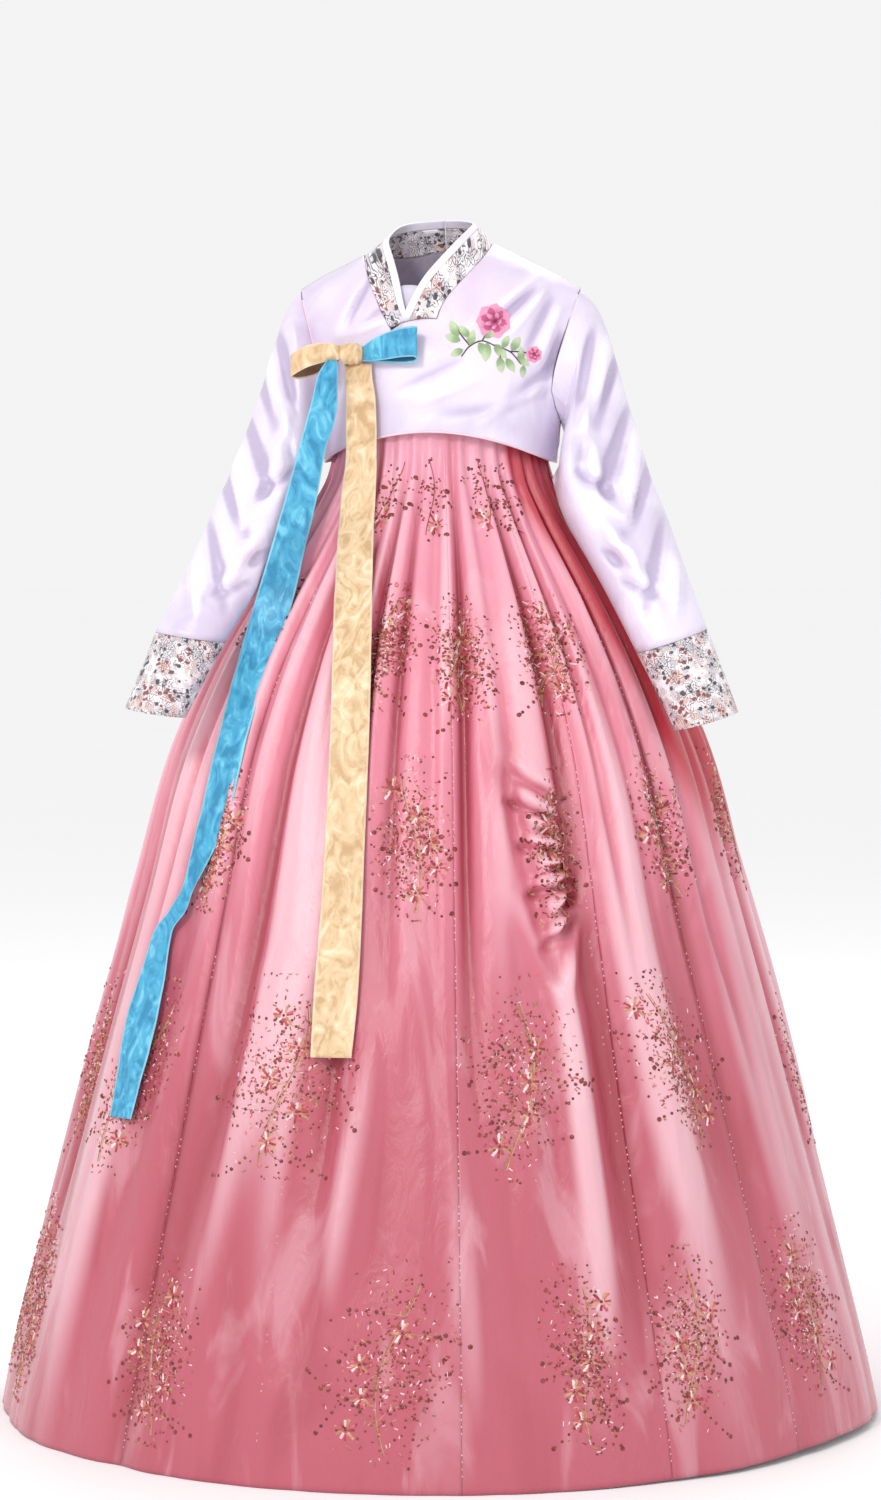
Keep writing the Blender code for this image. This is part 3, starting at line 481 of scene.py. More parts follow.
@dataclass(frozen=True)
class SkirtSatin:
    """Rose satin, pinker and paler near the band, deeper towards the hem, with painted highlight and shade,
    and coral painted shade at its left side.
    """

    name: str = "skirt_satin_cloth"
    top: Colour = colour(236, 164, 184)
    middle: Colour = colour(224, 132, 152)
    low: Colour = colour(188, 88, 106)
    # Colour of the painted shade in the dark streaks and in the fold troughs.
    deep: Colour = colour(158, 50, 66)
    # Colour of the painted highlight in the pale streaks and on the fold ridges.
    gleam: Colour = colour(248, 206, 216)
    # Colour of the painted shade at the left side and in the patches on the upper skirt.
    coral: Colour = colour(186, 30, 48)
    # Shares of the painted shade in the fold troughs and the painted highlight on the ridges.
    fold_shade_and_highlight_shares: Pair = (0.85, 0.62)
    gleam_share: float = 0.24
    # Share of the dark streaks of painted shade.
    shade_streak_share: float = 0.32
    # Share of the coral patches of painted shade on the upper skirt.
    shade_patch_share: float = 0.34
    # Share and place of the coral painted shade at the left side.
    side_shade_share: float = 0.88
    side_shade_lean: float = 0.88
    side_shade_turn: float = 0.28
    threads: float = 380.0
    bump: float = 0.42
    bump_depth: float = 0.005
    roughness: float = 0.25
    roughness_swing: float = 0.16

    def side_shade_mask(self, bench: Bench, height: object) -> object:
        """Where the painted shade lies on the skirt's left side as it turns away, from a leaning front edge
        to the back.

        Args:
            bench: the node bench.
            height: socket of the height.

        Returns:
            A socket, 1 where the painted shade lies on that side above the cuff and 0 elsewhere.
        """
        around = bench.math("ARCTAN2", bench.axis("X"), bench.math("MULTIPLY", bench.axis("Y"), -1.0))
        edge = bench.math("MULTIPLY_ADD", height, self.side_shade_lean, bench.math("ADD", around, self.side_shade_turn))
        turned = bench.math("MULTIPLY", bench.ramp(edge, 0.76, 0.88), bench.ramp(around, 2.1, 1.7))
        return bench.math("MULTIPLY", turned, bench.ramp(height, -0.76, -0.58))

    def make(self) -> Material:
        """Lay out the satin.

        Returns:
            The material.
        """
        bench = Bench(self.name)
        height = bench.axis("Z")
        base = bench.tint(self.middle, self.top, height, (-0.50, -0.16))
        base = bench.tint(base, self.low, height, (-0.50, -1.02))
        # Long pale streaks of painted highlight, which also set the roughness.
        highlight_streak = bench.noise(16.0, bench.scaled((1.0, 1.0, 0.13)), detail=4.0, warp=0.9)
        base = bench.tint(base, self.gleam, highlight_streak, (0.53, 0.70), self.gleam_share)
        # Long dark streaks of painted shade.
        dark = bench.noise(11.0, bench.scaled((1.0, 1.0, 0.16)), detail=3.0, warp=0.7)
        base = bench.tint(base, self.deep, dark, (0.54, 0.72), self.shade_streak_share)
        # Coral patches of painted shade on the upper skirt.
        shade_patch_noise = bench.noise(9.0, bench.scaled((1.0, 1.0, 0.10)), detail=2.0, warp=0.5)
        shade_patch = bench.math("MULTIPLY", bench.ramp(shade_patch_noise, 0.48, 0.62), bench.ramp(height, -0.66, -0.40))
        base = bench.mix(bench.math("MULTIPLY", shade_patch, self.shade_patch_share), base, self.coral)
        # Painted shade in the fold troughs and painted highlight on the ridges.
        base = bench.fold_shade_and_highlight(base, self.deep, self.gleam, self.fold_shade_and_highlight_shares)
        # Painted shade in coral where the left side turns away beside the sleeve.
        side = self.side_shade_mask(bench, height)
        bench.paint(bench.mix(bench.math("MULTIPLY", side, self.side_shade_share), base, self.coral))
        crush = bench.noise(30.0, bench.scaled((1.0, 1.0, 0.30)), detail=5.0, warp=1.5)
        relief = bench.math("MULTIPLY_ADD", bench.weave(self.threads), 0.02, crush)
        bench.emboss(relief, self.bump, self.bump_depth)
        bench.gloss(highlight_streak, self.roughness, self.roughness_swing)
        bench.set(Sheen_Weight=0.08, Sheen_Roughness=0.35, Specular_IOR_Level=0.65)
        return bench.material


@dataclass(frozen=True)
class Brocade:
    """White ground woven all over with grey and rose flower outlines."""

    name: str
    rose_share: float
    ground: Colour = colour(240, 236, 240)
    outline: Colour = colour(96, 86, 92)
    ink: Colour = colour(62, 50, 60)
    silver: Colour = colour(190, 184, 194)
    rose: Colour = colour(134, 72, 78)
    tan: Colour = colour(218, 176, 158)
    blooms: float = 62.0
    small_blooms: float = 1.9
    dabs: float = 150.0
    dab_clusters: float = 1.3
    bloom_petals: float = 5.0
    small_petals: float = 3.0
    lobe_depth: float = -0.11
    rings: float = 13.0

    def cells(self, bench: Bench, place: object, scale: float, randomness: float) -> bpy.types.Node:
        """Scatter cells over the cloth.

        Args:
            bench: the node bench.
            place: cloth coordinates.
            scale: cells to the metre.
            randomness: how unevenly they lie.

        Returns:
            The node of the cells.
        """
        cell = bench.tree.nodes.new("ShaderNodeTexVoronoi")
        cell.inputs["Scale"].default_value = scale
        cell.inputs["Randomness"].default_value = randomness
        bench.link(place, cell.inputs["Vector"])
        return cell

    def bloom_layer(self, bench: Bench, place: object, scale: float, petals: float) -> tuple[object, object]:
        """Draw one layer of petalled outlines scattered over the cloth.

        Args:
            bench: the node bench.
            place: cloth coordinates.
            scale: blooms to the metre.
            petals: number of petals.

        Returns:
            The outline's strength and a value that differs from bloom to bloom.
        """
        cell = self.cells(bench, place, scale, 0.8)
        away = bench.tree.nodes.new("ShaderNodeVectorMath")
        away.operation = "SUBTRACT"
        bench.link(place, away.inputs[0])
        bench.link(cell.outputs["Position"], away.inputs[1])
        angle = bench.math("ARCTAN2", bench.axis("Y", away.outputs[0]), bench.axis("X", away.outputs[0]))
        lobes = bench.math("SINE", bench.math("MULTIPLY", angle, petals))
        radius = bench.math("MULTIPLY_ADD", lobes, self.lobe_depth, cell.outputs["Distance"])
        rings = bench.math("ABSOLUTE", bench.math("SINE", bench.math("MULTIPLY", radius, self.rings)))
        near = bench.ramp(cell.outputs["Distance"], 0.62, 0.5)
        line = bench.math("MULTIPLY", bench.ramp(rings, 0.58, 0.34), near)
        return line, bench.axis("X", cell.outputs["Color"])

    def make(self) -> Material:
        """Lay out the brocade.

        Returns:
            The material.
        """
        bench = Bench(self.name)
        place = bench.uv()
        big, kind = self.bloom_layer(bench, place, self.blooms, self.bloom_petals)
        small, tone = self.bloom_layer(bench, place, self.blooms * self.small_blooms, self.small_petals)
        dabs = bench.ramp(self.cells(bench, place, self.dabs, 1.0).outputs["Distance"], 0.46, 0.36)
        clusters = bench.ramp(bench.noise(self.blooms * self.dab_clusters, place, 2.0), 0.45, 0.52)
        dabbed = bench.math("MULTIPLY", dabs, clusters)
        rosy = bench.ramp(kind, 1.0 - self.rose_share, 1.02 - self.rose_share)
        fill = bench.mix(rosy, self.silver, self.tan)
        base = bench.tint(self.ground, fill, bench.noise(self.blooms, place, 1.0), (0.46, 0.58), 0.6)
        for shape, share, ink in ((small, 0.8, bench.tint(self.outline, self.tan, tone, (0.5, 0.8))),
                                  (big, 0.95, bench.mix(rosy, self.outline, self.rose)),
                                  (dabbed, 0.95, bench.mix(rosy, self.ink, self.rose))):
            base = bench.mix(bench.math("MULTIPLY", shape, share), base, ink)
        bench.paint(base)
        bench.emboss(bench.math("ADD", big, bench.math("ADD", small, dabbed)), 0.4, 0.0006)
        bench.set(Roughness=0.42, Sheen_Weight=0.15, Sheen_Roughness=0.4)
        return bench.material


@dataclass(frozen=True)
class PlainCloth:
    """Plain woven cloth of one colour with a fine weave."""

    name: str
    base: Colour
    shade: Colour
    roughness: float = 0.6
    sheen: float = 0.15
    threads: float = 300.0

    def make(self) -> Material:
        """Lay out the cloth.

        Returns:
            The material.
        """
        bench = Bench(self.name)
        bench.paint(bench.tint(self.base, self.shade, bench.noise(18.0), (0.35, 0.7)))
        height = bench.math("MULTIPLY_ADD", bench.weave(self.threads), 0.12, bench.noise(60.0))
        bench.emboss(height, 0.15, 0.002)
        bench.set(Roughness=self.roughness, Sheen_Weight=self.sheen)
        return bench.material


@dataclass(frozen=True)
class RibbonSatin:
    """Crushed satin ribbon with fine lighter lines along both edges."""

    name: str
    light: Colour
    base: Colour
    shade: Colour
    edge: Colour
    roughness: float = 0.42
    edge_share: float = 0.6
    # A loop's back layer, past this length along it, takes painted shade where it shows below the front
    # layer.
    back_layer: float = 0.0
    slot_shade: Colour = (0.0, 0.0, 0.0)
    slot_shade_share: float = 0.85

    def make(self) -> Material:
        """Lay out the ribbon.

        Returns:
            The material.
        """
        bench = Bench(self.name)
        layout = bench.uv()
        across = bench.axis("X", layout)
        crush = bench.noise(46.0, bench.scaled((1.0, 1.0, 0.55)), detail=6.0, warp=1.9)
        fine = bench.noise(110.0, detail=3.0, warp=0.6)
        base = bench.tint(self.shade, self.base, crush, (0.35, 0.55))
        base = bench.tint(base, self.light, crush, (0.52, 0.7), 0.8)
        base = bench.tint(base, self.light, fine, (0.5, 0.8), 0.35)
        # Painted shade over the loop's back layer below the front layer, all but a thin strip at its lower
        # edge.
        if self.back_layer > 0.0:
            behind = bench.math("GREATER_THAN", bench.axis("Y", layout), self.back_layer)
            slot = bench.math("MULTIPLY", behind, bench.ramp(across, 0.05, 0.09))
            base = bench.mix(bench.math("MULTIPLY", slot, self.slot_shade_share), base, self.slot_shade)
        from_middle = bench.math("ABSOLUTE", bench.math("SUBTRACT", across, 0.5))
        bench.paint(bench.tint(base, self.edge, from_middle, (0.435, 0.47), self.edge_share))
        bench.emboss(bench.math("MULTIPLY_ADD", fine, 0.25, crush), 0.35, 0.004)
        bench.set(Roughness=self.roughness, Sheen_Weight=0.3, Sheen_Roughness=0.35)
        return bench.material


@dataclass(frozen=True)
class Thread:
    """Twisted embroidery thread or small bead of one colour, with a slight change of tone."""

    name: str
    base: Colour
    tip: Colour
    roughness: float = 0.4

    def make(self) -> Material:
        """Lay out the thread.

        Returns:
            The material.
        """
        bench = Bench(self.name)
        bench.paint(bench.tint(self.base, self.tip, bench.noise(140.0, detail=2.0), (0.35, 0.65)))
        bench.emboss(bench.noise(900.0, detail=1.0), 0.2, 0.0004)
        bench.set(Roughness=self.roughness)
        return bench.material


@dataclass(frozen=True)
class SilkPetal:
    """Satin-stitched petal, deep at its base and pale at its edge, with stitches along it."""

    name: str
    base: Colour
    edge: Colour
    stitches: float = 70.0

    def make(self) -> Material:
        """Lay out the stitched petal.

        Returns:
            The material.
        """
        bench = Bench(self.name)
        layout = bench.uv()
        stitch = bench.math("SINE", bench.math("MULTIPLY", bench.axis("X", layout), self.stitches))
        share = bench.math("ADD", bench.axis("Y", layout), bench.math("MULTIPLY", bench.noise(260.0), 0.35))
        bench.paint(bench.tint(self.base, self.edge, share, (0.35, 1.0)))
        bench.emboss(stitch, 0.3, 0.0003)
        bench.set(Roughness=0.38, Sheen_Weight=0.3)
        return bench.material


def enter(name: str, data: bpy.types.ID) -> Piece:
    """Put a mesh, lamp or camera into the scene.

    Args:
        name: name of the object.
        data: what it shows.

    Returns:
        The object.
    """
    made = bpy.data.objects.new(name, data)
    bpy.context.scene.collection.objects.link(made)
    return made


def plain_faces(faces: Sequence[Sequence[int]], first: int = 0) -> list[tuple[int, ...]]:
    """Vertex numbers of faces as plain numbers."""
    return [tuple(int(v) + first for v in face) for face in faces]


def corner_points(mesh: bpy.types.Mesh) -> np.ndarray:
    """Vertex number at every face corner.

    Args:
        mesh: the mesh.

    Returns:
        One number for each corner.
    """
    index = np.zeros(len(mesh.loops), dtype=np.int32)
    mesh.loops.foreach_get("vertex_index", index)
    return index


def write_layer(mesh: bpy.types.Mesh, name: str, values: np.ndarray) -> None:
    """Keep a pair of values for every face corner of a mesh."""
    layer = mesh.uv_layers.new(name=name)
    layer.data.foreach_set("uv", values.astype(np.float32).ravel())


def make_object(name: str, points: np.ndarray, faces: Sequence[Sequence[int]], material: Material,
                layout: np.ndarray) -> Piece:
    """Make a smooth-shaded mesh object.

    Args:
        name: name of the piece.
        points: its vertices.
        faces: vertex numbers of its faces.
        material: its finish.
        layout: one pair of cloth coordinates for each vertex.

    Returns:
        The object, riding on the garment.
    """
    mesh = bpy.data.meshes.new(name)
    mesh.from_pydata(points.tolist(), [], plain_faces(faces))
    mesh.materials.append(material)
    mesh.update()
    mesh.polygons.foreach_set("use_smooth", [True] * len(mesh.polygons))
    write_layer(mesh, "layout", layout[corner_points(mesh)])
    made = enter(name, mesh)
    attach(made, "root")
    return made


def grid_faces(rows: int, columns: int, wrap: bool = False) -> np.ndarray:
    """Faces of a grid of vertices.

    Args:
        rows: number of rows.
        columns: number of columns.
        wrap: whether the last column joins the first.

    Returns:
        One row of four vertex numbers for each face.
    """
    cells = columns if wrap else columns - 1
    row, cell = np.meshgrid(np.arange(rows - 1), np.arange(cells), indexing="ij")
    after = (cell + 1) % columns
    near, far = row * columns, (row + 1) * columns
    return np.stack([near + cell, near + after, far + after, far + cell], axis=-1).reshape(-1, 4)


def thicken(piece: Piece, cloth: float) -> None:
    """Give a piece its cloth's thickness, inward from its surface.

    Args:
        piece: the piece.
        cloth: thickness.
    """
    modifier = piece.modifiers.new("cloth", "SOLIDIFY")
    modifier.thickness = cloth
    modifier.offset = -1.0
    bake(piece)


def bake(piece: Piece) -> None:
    """Turn a piece's modifiers into plain mesh.

    Args:
        piece: the piece.
    """
    bpy.context.view_layer.update()
    graph = bpy.context.evaluated_depsgraph_get()
    mesh = bpy.data.meshes.new_from_object(piece.evaluated_get(graph))
    piece.modifiers.clear()
    piece.data = mesh


def points_of(piece: Piece) -> np.ndarray:
    """Vertices of a piece.

    Args:
        piece: the piece.

    Returns:
        One row for each vertex.
    """
    flat = np.zeros(len(piece.data.vertices) * 3, dtype=np.float32)
    piece.data.vertices.foreach_get("co", flat)
    return flat.reshape(-1, 3).astype(float)


def settle(piece: Piece, points: np.ndarray) -> None:
    """Move the vertices of a piece to new places."""
    piece.data.vertices.foreach_set("co", points.astype(np.float32).ravel())
    piece.data.update()


@dataclass(frozen=True)
class Cut:
    """One cut of cloth: its solid, its flat size and how finely its shell is rounded off."""

    node: str
    flat: Pair
    area: float
    levels: int = 2


@dataclass
class SolidShell:
    """A smooth thin shell made from one cloth solid of the frame."""

    cut: Cut
    slot: str
    material: Material
    lay: Lay
    weld: float = 2e-5
    face_angle: float = 40.0
    shape_angle: float = 60.0
    rim_angle: float = 50.0

    def copy_solid(self, solid: bpy.types.Mesh) -> bpy.types.Mesh:
        """Copy a solid's mesh with joined triangles, its rims marked to stay sharp.

        Args:
            solid: mesh of the solid.

        Returns:
            The copy, smooth-shaded and in the shell's finish.
        """
        work = bmesh.new()
        work.from_mesh(solid)
        bmesh.ops.remove_doubles(work, verts=work.verts, dist=self.weld)
        bmesh.ops.join_triangles(work, faces=work.faces, angle_face_threshold=math.radians(self.face_angle),
                                 angle_shape_threshold=math.radians(self.shape_angle))
        crease = work.edges.layers.float.new("crease_edge")
        for edge in work.edges:
            if len(edge.link_faces) != 2 or edge.calc_face_angle(0.0) > math.radians(self.rim_angle):
                edge[crease] = 1.0
        mesh = bpy.data.meshes.new(self.cut.node + "_shell")
        work.to_mesh(mesh)
        work.free()
        mesh.materials.clear()
        mesh.materials.append(self.material)
        mesh.polygons.foreach_set("use_smooth", [True] * len(mesh.polygons))
        return mesh

    def build(self, frame: dict) -> Piece:
        """Copy the solid, round it off and make it the piece that shows.

        Args:
            frame: the loaded frame.

        Returns:
            The shell.
        """
        mesh = self.copy_solid(frame["nodes"][self.cut.node].data)
        piece = enter(mesh.name, mesh)
        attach(piece, "root")
        modifier = piece.modifiers.new("round", "SUBSURF")
        modifier.levels = self.cut.levels
        modifier.render_levels = self.cut.levels
        bake(piece)
        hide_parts(self.cut.node)
        LOG.info("%s, %d faces", piece.name, len(piece.data.polygons))
        return piece


def mark_folds(piece: Piece, share: np.ndarray) -> None:
    """Keep how far each vertex lies in a trough, 0, or on a ridge, 1, for the cloth's painted shade and
    painted highlight.
    """
    corners = np.clip(share, 0.0, 1.0)[corner_points(piece.data)]
    write_layer(piece.data, "fold", np.stack([corners, np.zeros_like(corners)], axis=1))


def push(piece: Piece, offset: Offset, full: float = 0.011) -> None:
    """Move every vertex of a piece by an offset worked out from its place.

    Args:
        piece: the piece.
        offset: gives one offset and one depth of relief for each vertex.
        full: depth of relief from the deepest trough to the highest ridge.
    """
    points = points_of(piece)
    moved, depth = offset(points)
    settle(piece, points + moved)
    mark_folds(piece, 0.5 + depth / full)


class Ground:
    """A piece of cloth that smaller things are sewn on."""

    def __init__(self, points: np.ndarray, faces: np.ndarray) -> None:
        """Prepare the cloth for finding places on it."""
        self.tree = BVHTree.FromPolygons(points.tolist(), plain_faces(faces))

    def meet(self, start: np.ndarray, toward: np.ndarray) -> Met | None:
        """Find where a straight line first meets the cloth.

        Args:
            start: start of the line.
            toward: its direction.

        Returns:
            The place and the outward normal there, or none.
        """
        place, normal, _, _ = self.tree.ray_cast(Vector(start), Vector(toward))
        if place is None:
            return None
        normal = np.array(normal)
        return np.array(place), -normal if np.dot(normal, toward) > 0.0 else normal


def rows_of(met: Sequence[Met | None]) -> Met:
    """Gather what lines met on the cloth."""
    found = [one for one in met if one is not None]
    return np.array([place for place, _ in found]), np.array([normal for _, normal in found])


@dataclass
class Batch:
    """Collects many small sewn-on forms into one mesh."""

    name: str
    slot: str
    material: Material
    points: list[np.ndarray] = field(default_factory=list)
    faces: list[tuple[int, ...]] = field(default_factory=list)
    layout: list[np.ndarray] = field(default_factory=list)
    count: int = 0
    bead_sides: int = 7
    sink: float = 0.0004
    strand_sink: float = 0.0003
    dash_slope: float = 0.2

    def add(self, points: np.ndarray, faces: Sequence[Sequence[int]],
            layout: np.ndarray | None = None) -> None:
        """Add one small form.

        Args:
            points: its vertices.
            faces: its faces, by its own vertex numbers.
            layout: its cloth coordinates, if it has them.
        """
        self.points.append(points)
        self.faces.extend(plain_faces(faces, self.count))
        self.layout.append(np.zeros((len(points), 2)) if layout is None else layout)
        self.count += len(points)

    def bead(self, met: Met, radius: float, rise: float) -> None:
        """Add a low round bead or sequin.

        Args:
            met: its place on the cloth and the cloth's outward normal there.
            radius: its radius.
            rise: its height over the cloth.
        """
        place, normal = met
        side = unit(np.cross(normal, (0.0, 0.0, 1.0)))
        up = np.cross(side, normal)
        last = self.bead_sides
        turns = np.arange(last) * 2.0 * math.pi / last
        ring = radius * (np.cos(turns)[:, None] * side + np.sin(turns)[:, None] * up)
        ring = place + ring - normal * self.sink
        self.add(np.vstack([ring, place + normal * rise]), [(k, (k + 1) % last, last) for k in range(last)])

    def dash(self, start: Met, end: Met, width: float, rise: float) -> None:
        """Add a short raised stitch or bugle bead.

        Args:
            start: its start on the cloth and the cloth's outward normal there.
            end: its end.
            width: its width.
            rise: its height over the cloth.
        """
        (one, normal), two = start, end[0]
        run = two - one
        side = unit(np.cross(run, normal)) * width / 2.0
        low, lift, inset = normal * self.sink, normal * rise, run * self.dash_slope
        points = np.array([one - side - low, one + side - low, two + side - low, two - side - low,
                           one + inset + lift, two - inset + lift])
        self.add(points, [(0, 1, 4), (1, 2, 5, 4), (2, 3, 5), (3, 0, 4, 5)])

    def strand(self, places: np.ndarray, normals: np.ndarray, width: float, rise: float) -> None:
        """Add a thread couched along a line of places.

        Args:
            places: places on the cloth.
            normals: outward normals there.
            width: its width.
            rise: its height over the cloth.
        """
        side = unit(np.cross(np.gradient(places, axis=0), normals)) * width / 2.0
        low = normals * self.strand_sink
        rows = np.stack([places - side - low, places + normals * rise, places + side - low], axis=1)
        self.add(rows.reshape(-1, 3), grid_faces(len(places), 3))

    def build(self) -> None:
        """Make the one mesh of everything collected."""
        made = make_object(self.name, np.vstack(self.points), self.faces, self.material,
                           np.vstack(self.layout))
        LOG.info("%s, %d forms", self.name, len(self.points))


@dataclass(frozen=True)
class Wave:
    """A value that swings evenly round a middle."""

    middle: float
    swing: float
    rate: float
    shift: float

    def at(self, place: np.ndarray) -> np.ndarray:
        """Value of the wave at places along it."""
        return self.middle + self.swing * np.sin(self.rate * place + self.shift)


@dataclass
class Skirt:
    """The gathered skirt: eight gores, their seams and the long folds."""

    cloth: Material
    profile: Table = (
        # height, half_width, half_depth
        (1.172, 0.123, 0.0965), (1.14, 0.1235, 0.097), (1.105, 0.129, 0.1045), (1.06, 0.15, 0.129),
        (1.015, 0.179, 0.16), (0.955, 0.219, 0.2), (0.87, 0.268, 0.249), (0.766, 0.313, 0.292),
        (0.623, 0.353, 0.33), (0.48, 0.395, 0.37), (0.336, 0.436, 0.409), (0.18, 0.479, 0.449),
        (0.05, 0.512, 0.48), (0.0, 0.522, 0.49))
    gathers: tuple[Pair, ...] = (
        # height, depth
        (1.172, 0.0018), (1.14, 0.0024), (1.06, 0.0052), (0.955, 0.007), (0.766, 0.006), (0.48, 0.0034),
        (0.2, 0.0018), (0.0, 0.001))
    gather_depth: Wave = Wave(0.72, 0.28, 2.4, -0.5)
    gather_slow: Wave = Wave(0.0, 0.55, 3.7, 0.4)
    gather_slower: Wave = Wave(0.0, 1.0, 1.31, 1.0)
    gather_end: Wave = Wave(0.60, 0.26, 2.9, 2.0)
    gather_drift: float = 0.8
    free_heights: Pair = (1.13, 1.04)
    broad_top: Pair = (1.1, 0.86)
    broad_low: Pair = (0.0, 0.5)
    broad_waves: tuple[tuple[float, float, float, Wave], ...] = (
        # depth, waves round the skirt, start, sway along the height
        (0.0042, 17.0, 1.3, Wave(0.0, 1.6, 2.6, 0.0)), (0.0034, 23.0, 2.1, Wave(0.0, -1.9, 2.1, 0.5)))
    long_folds: Table = (
        # azimuth, half_angle, top, peak, bottom, depth
        (-62.0, 6.0, 1.0, 0.5, -0.3, 0.012), (-44.0, 3.5, 0.95, 0.35, -0.3, -0.014),
        (-24.0, 5.0, 1.1, 0.6, -0.1, 0.01), (-12.0, 3.5, 1.05, 0.7, 0.05, -0.01),
        (3.0, 3.0, 1.1, 0.75, 0.05, -0.012), (10.0, 4.0, 1.05, 0.7, 0.2, 0.008),
        (17.0, 3.0, 0.7, 0.5, 0.1, -0.012), (22.5, 3.0, 0.75, 0.45, 0.0, 0.009),
        (28.0, 3.0, 0.9, 0.4, -0.3, -0.007), (40.0, 6.0, 0.95, 0.45, -0.3, 0.009),
        (52.0, 4.0, 0.95, 0.55, -0.1, -0.01), (70.0, 7.0, 1.0, 0.45, -0.3, 0.011),
        (88.0, 5.0, 0.95, 0.4, -0.3, -0.009), (108.0, 7.0, 1.0, 0.45, -0.3, 0.012),
        (127.0, 5.0, 1.05, 0.5, -0.2, -0.012), (146.0, 7.0, 1.0, 0.4, -0.3, 0.012),
        (166.0, 5.0, 1.05, 0.55, -0.2, -0.011), (184.0, 7.0, 1.0, 0.4, -0.3, 0.01),
        (203.0, 5.0, 1.0, 0.45, -0.3, -0.012), (222.0, 7.0, 1.0, 0.5, -0.3, 0.012),
        (243.0, 5.0, 1.05, 0.45, -0.3, -0.012), (262.0, 7.0, 1.0, 0.45, -0.3, 0.01),
        (281.0, 5.0, 0.95, 0.4, -0.3, -0.01))
    creases: tuple[CreaseRow, ...] = (
        # azimuth_1, height_1, azimuth_2, height_2, width, depth
        (14.0, 0.774, 25.5, 0.732, 0.007, -0.0085), (12.5, 0.742, 24.5, 0.714, 0.0055, -0.01),
        (17.5, 0.71, 25.8, 0.699, 0.005, -0.008), (14.5, 0.69, 25.0, 0.682, 0.006, -0.01),
        (19.0, 0.664, 26.0, 0.668, 0.005, -0.007), (15.5, 0.634, 26.0, 0.652, 0.0065, -0.01),
        (20.0, 0.61, 26.5, 0.634, 0.0055, -0.0075), (17.5, 0.572, 26.0, 0.612, 0.008, -0.0095),
        (15.0, 0.756, 24.0, 0.723, 0.0055, 0.007), (16.5, 0.724, 24.0, 0.707, 0.0046, 0.008),
        (16.0, 0.7, 25.2, 0.691, 0.0044, 0.006), (18.5, 0.675, 24.4, 0.675, 0.0052, 0.0085),
        (17.0, 0.65, 25.4, 0.66, 0.0048, 0.0065), (19.5, 0.624, 25.2, 0.643, 0.0056, 0.008),
        (18.5, 0.592, 25.8, 0.623, 0.006, 0.007), (13.5, 0.78, 20.0, 0.545, 0.011, -0.009),
        (26.0, 0.66, 20.4, 0.545, 0.01, -0.009), (14.0, 0.64, 19.5, 0.52, 0.012, 0.006),
        (26.0, 0.62, 21.0, 0.52, 0.01, 0.006), (16.0, 0.52, 12.0, 0.23, 0.02, 0.008),
        (22.0, 0.52, 24.0, 0.12, 0.024, 0.008), (8.0, 0.9, 12.0, 0.66, 0.012, -0.006),
        (10.0, 0.78, 15.0, 0.6, 0.014, 0.006), (-6.0, 0.76, -3.0, 0.56, 0.014, -0.006),
        (-10.0, 0.52, -16.0, 0.2, 0.026, 0.009), (-18.0, 0.54, -21.0, 0.12, 0.026, -0.008),
        (-30.0, 0.56, -35.0, 0.16, 0.024, 0.009), (-38.0, 0.46, -40.0, 0.05, 0.02, -0.008),
        (4.0, 0.42, 5.0, 0.06, 0.024, 0.007), (33.0, 0.7, 36.0, 0.3, 0.024, 0.007),
        (45.0, 0.64, 47.0, 0.2, 0.026, -0.008), (58.0, 0.56, 60.0, 0.16, 0.026, 0.008),
        (100.0, 0.64, 98.0, 0.25, 0.026, 0.008), (118.0, 0.58, 120.0, 0.16, 0.024, -0.008),
        (136.0, 0.68, 138.0, 0.2, 0.026, 0.008), (156.0, 0.56, 158.0, 0.14, 0.026, -0.008),
        (175.0, 0.64, 174.0, 0.2, 0.026, 0.008), (194.0, 0.6, 192.0, 0.16, 0.026, -0.008),
        (213.0, 0.64, 215.0, 0.24, 0.024, 0.008), (232.0, 0.58, 231.0, 0.14, 0.026, -0.008),
        (252.0, 0.66, 254.0, 0.2, 0.026, 0.008), (272.0, 0.58, 273.0, 0.14, 0.024, -0.007))
    seams: tuple[int, ...] = (0, 22, 34, 44, 68, 94, 118, 144)
    cad_columns: int = 168
    fine: int = 3
    rows: int = 190
    first_azimuth: float = -44.0
    uneven_spacing: tuple[Pair, ...] = ((0.9, 5.0), (0.5, 11.0))
    gather_columns: int = 4
    hem_rise: float = 0.009
    hem_rise_azimuth: float = 64.0
    hem_rise_half_angle: float = 30.0
    hem_rise_top: float = 0.25
    cloth_thickness: float = 0.0011
    full_relief: float = 0.03
    top_share: float = 0.42
    puckered: tuple[int, ...] = (1, 2)
    pucker_low: float = 0.5
    pucker_high: float = 0.78
    pucker_step: float = 0.0032
    row_crowding: float = 1.12
    row_gap: float = 0.0012
    column_width: float = 0.018
    seam_gap: float = 0.01

    def azimuth(self, column: np.ndarray) -> np.ndarray:
        """Azimuth in degrees of columns, unevenly spaced as the gathers are.

        Args:
            column: column numbers.

        Returns:
            Azimuths, 0 at the front and 90 at the left side.
        """
        turn = 2.0 * math.pi * column / self.cad_columns
        even = self.first_azimuth + 360.0 * column / self.cad_columns
        return even + sum(swing * np.sin(waves * turn) for swing, waves in self.uneven_spacing)

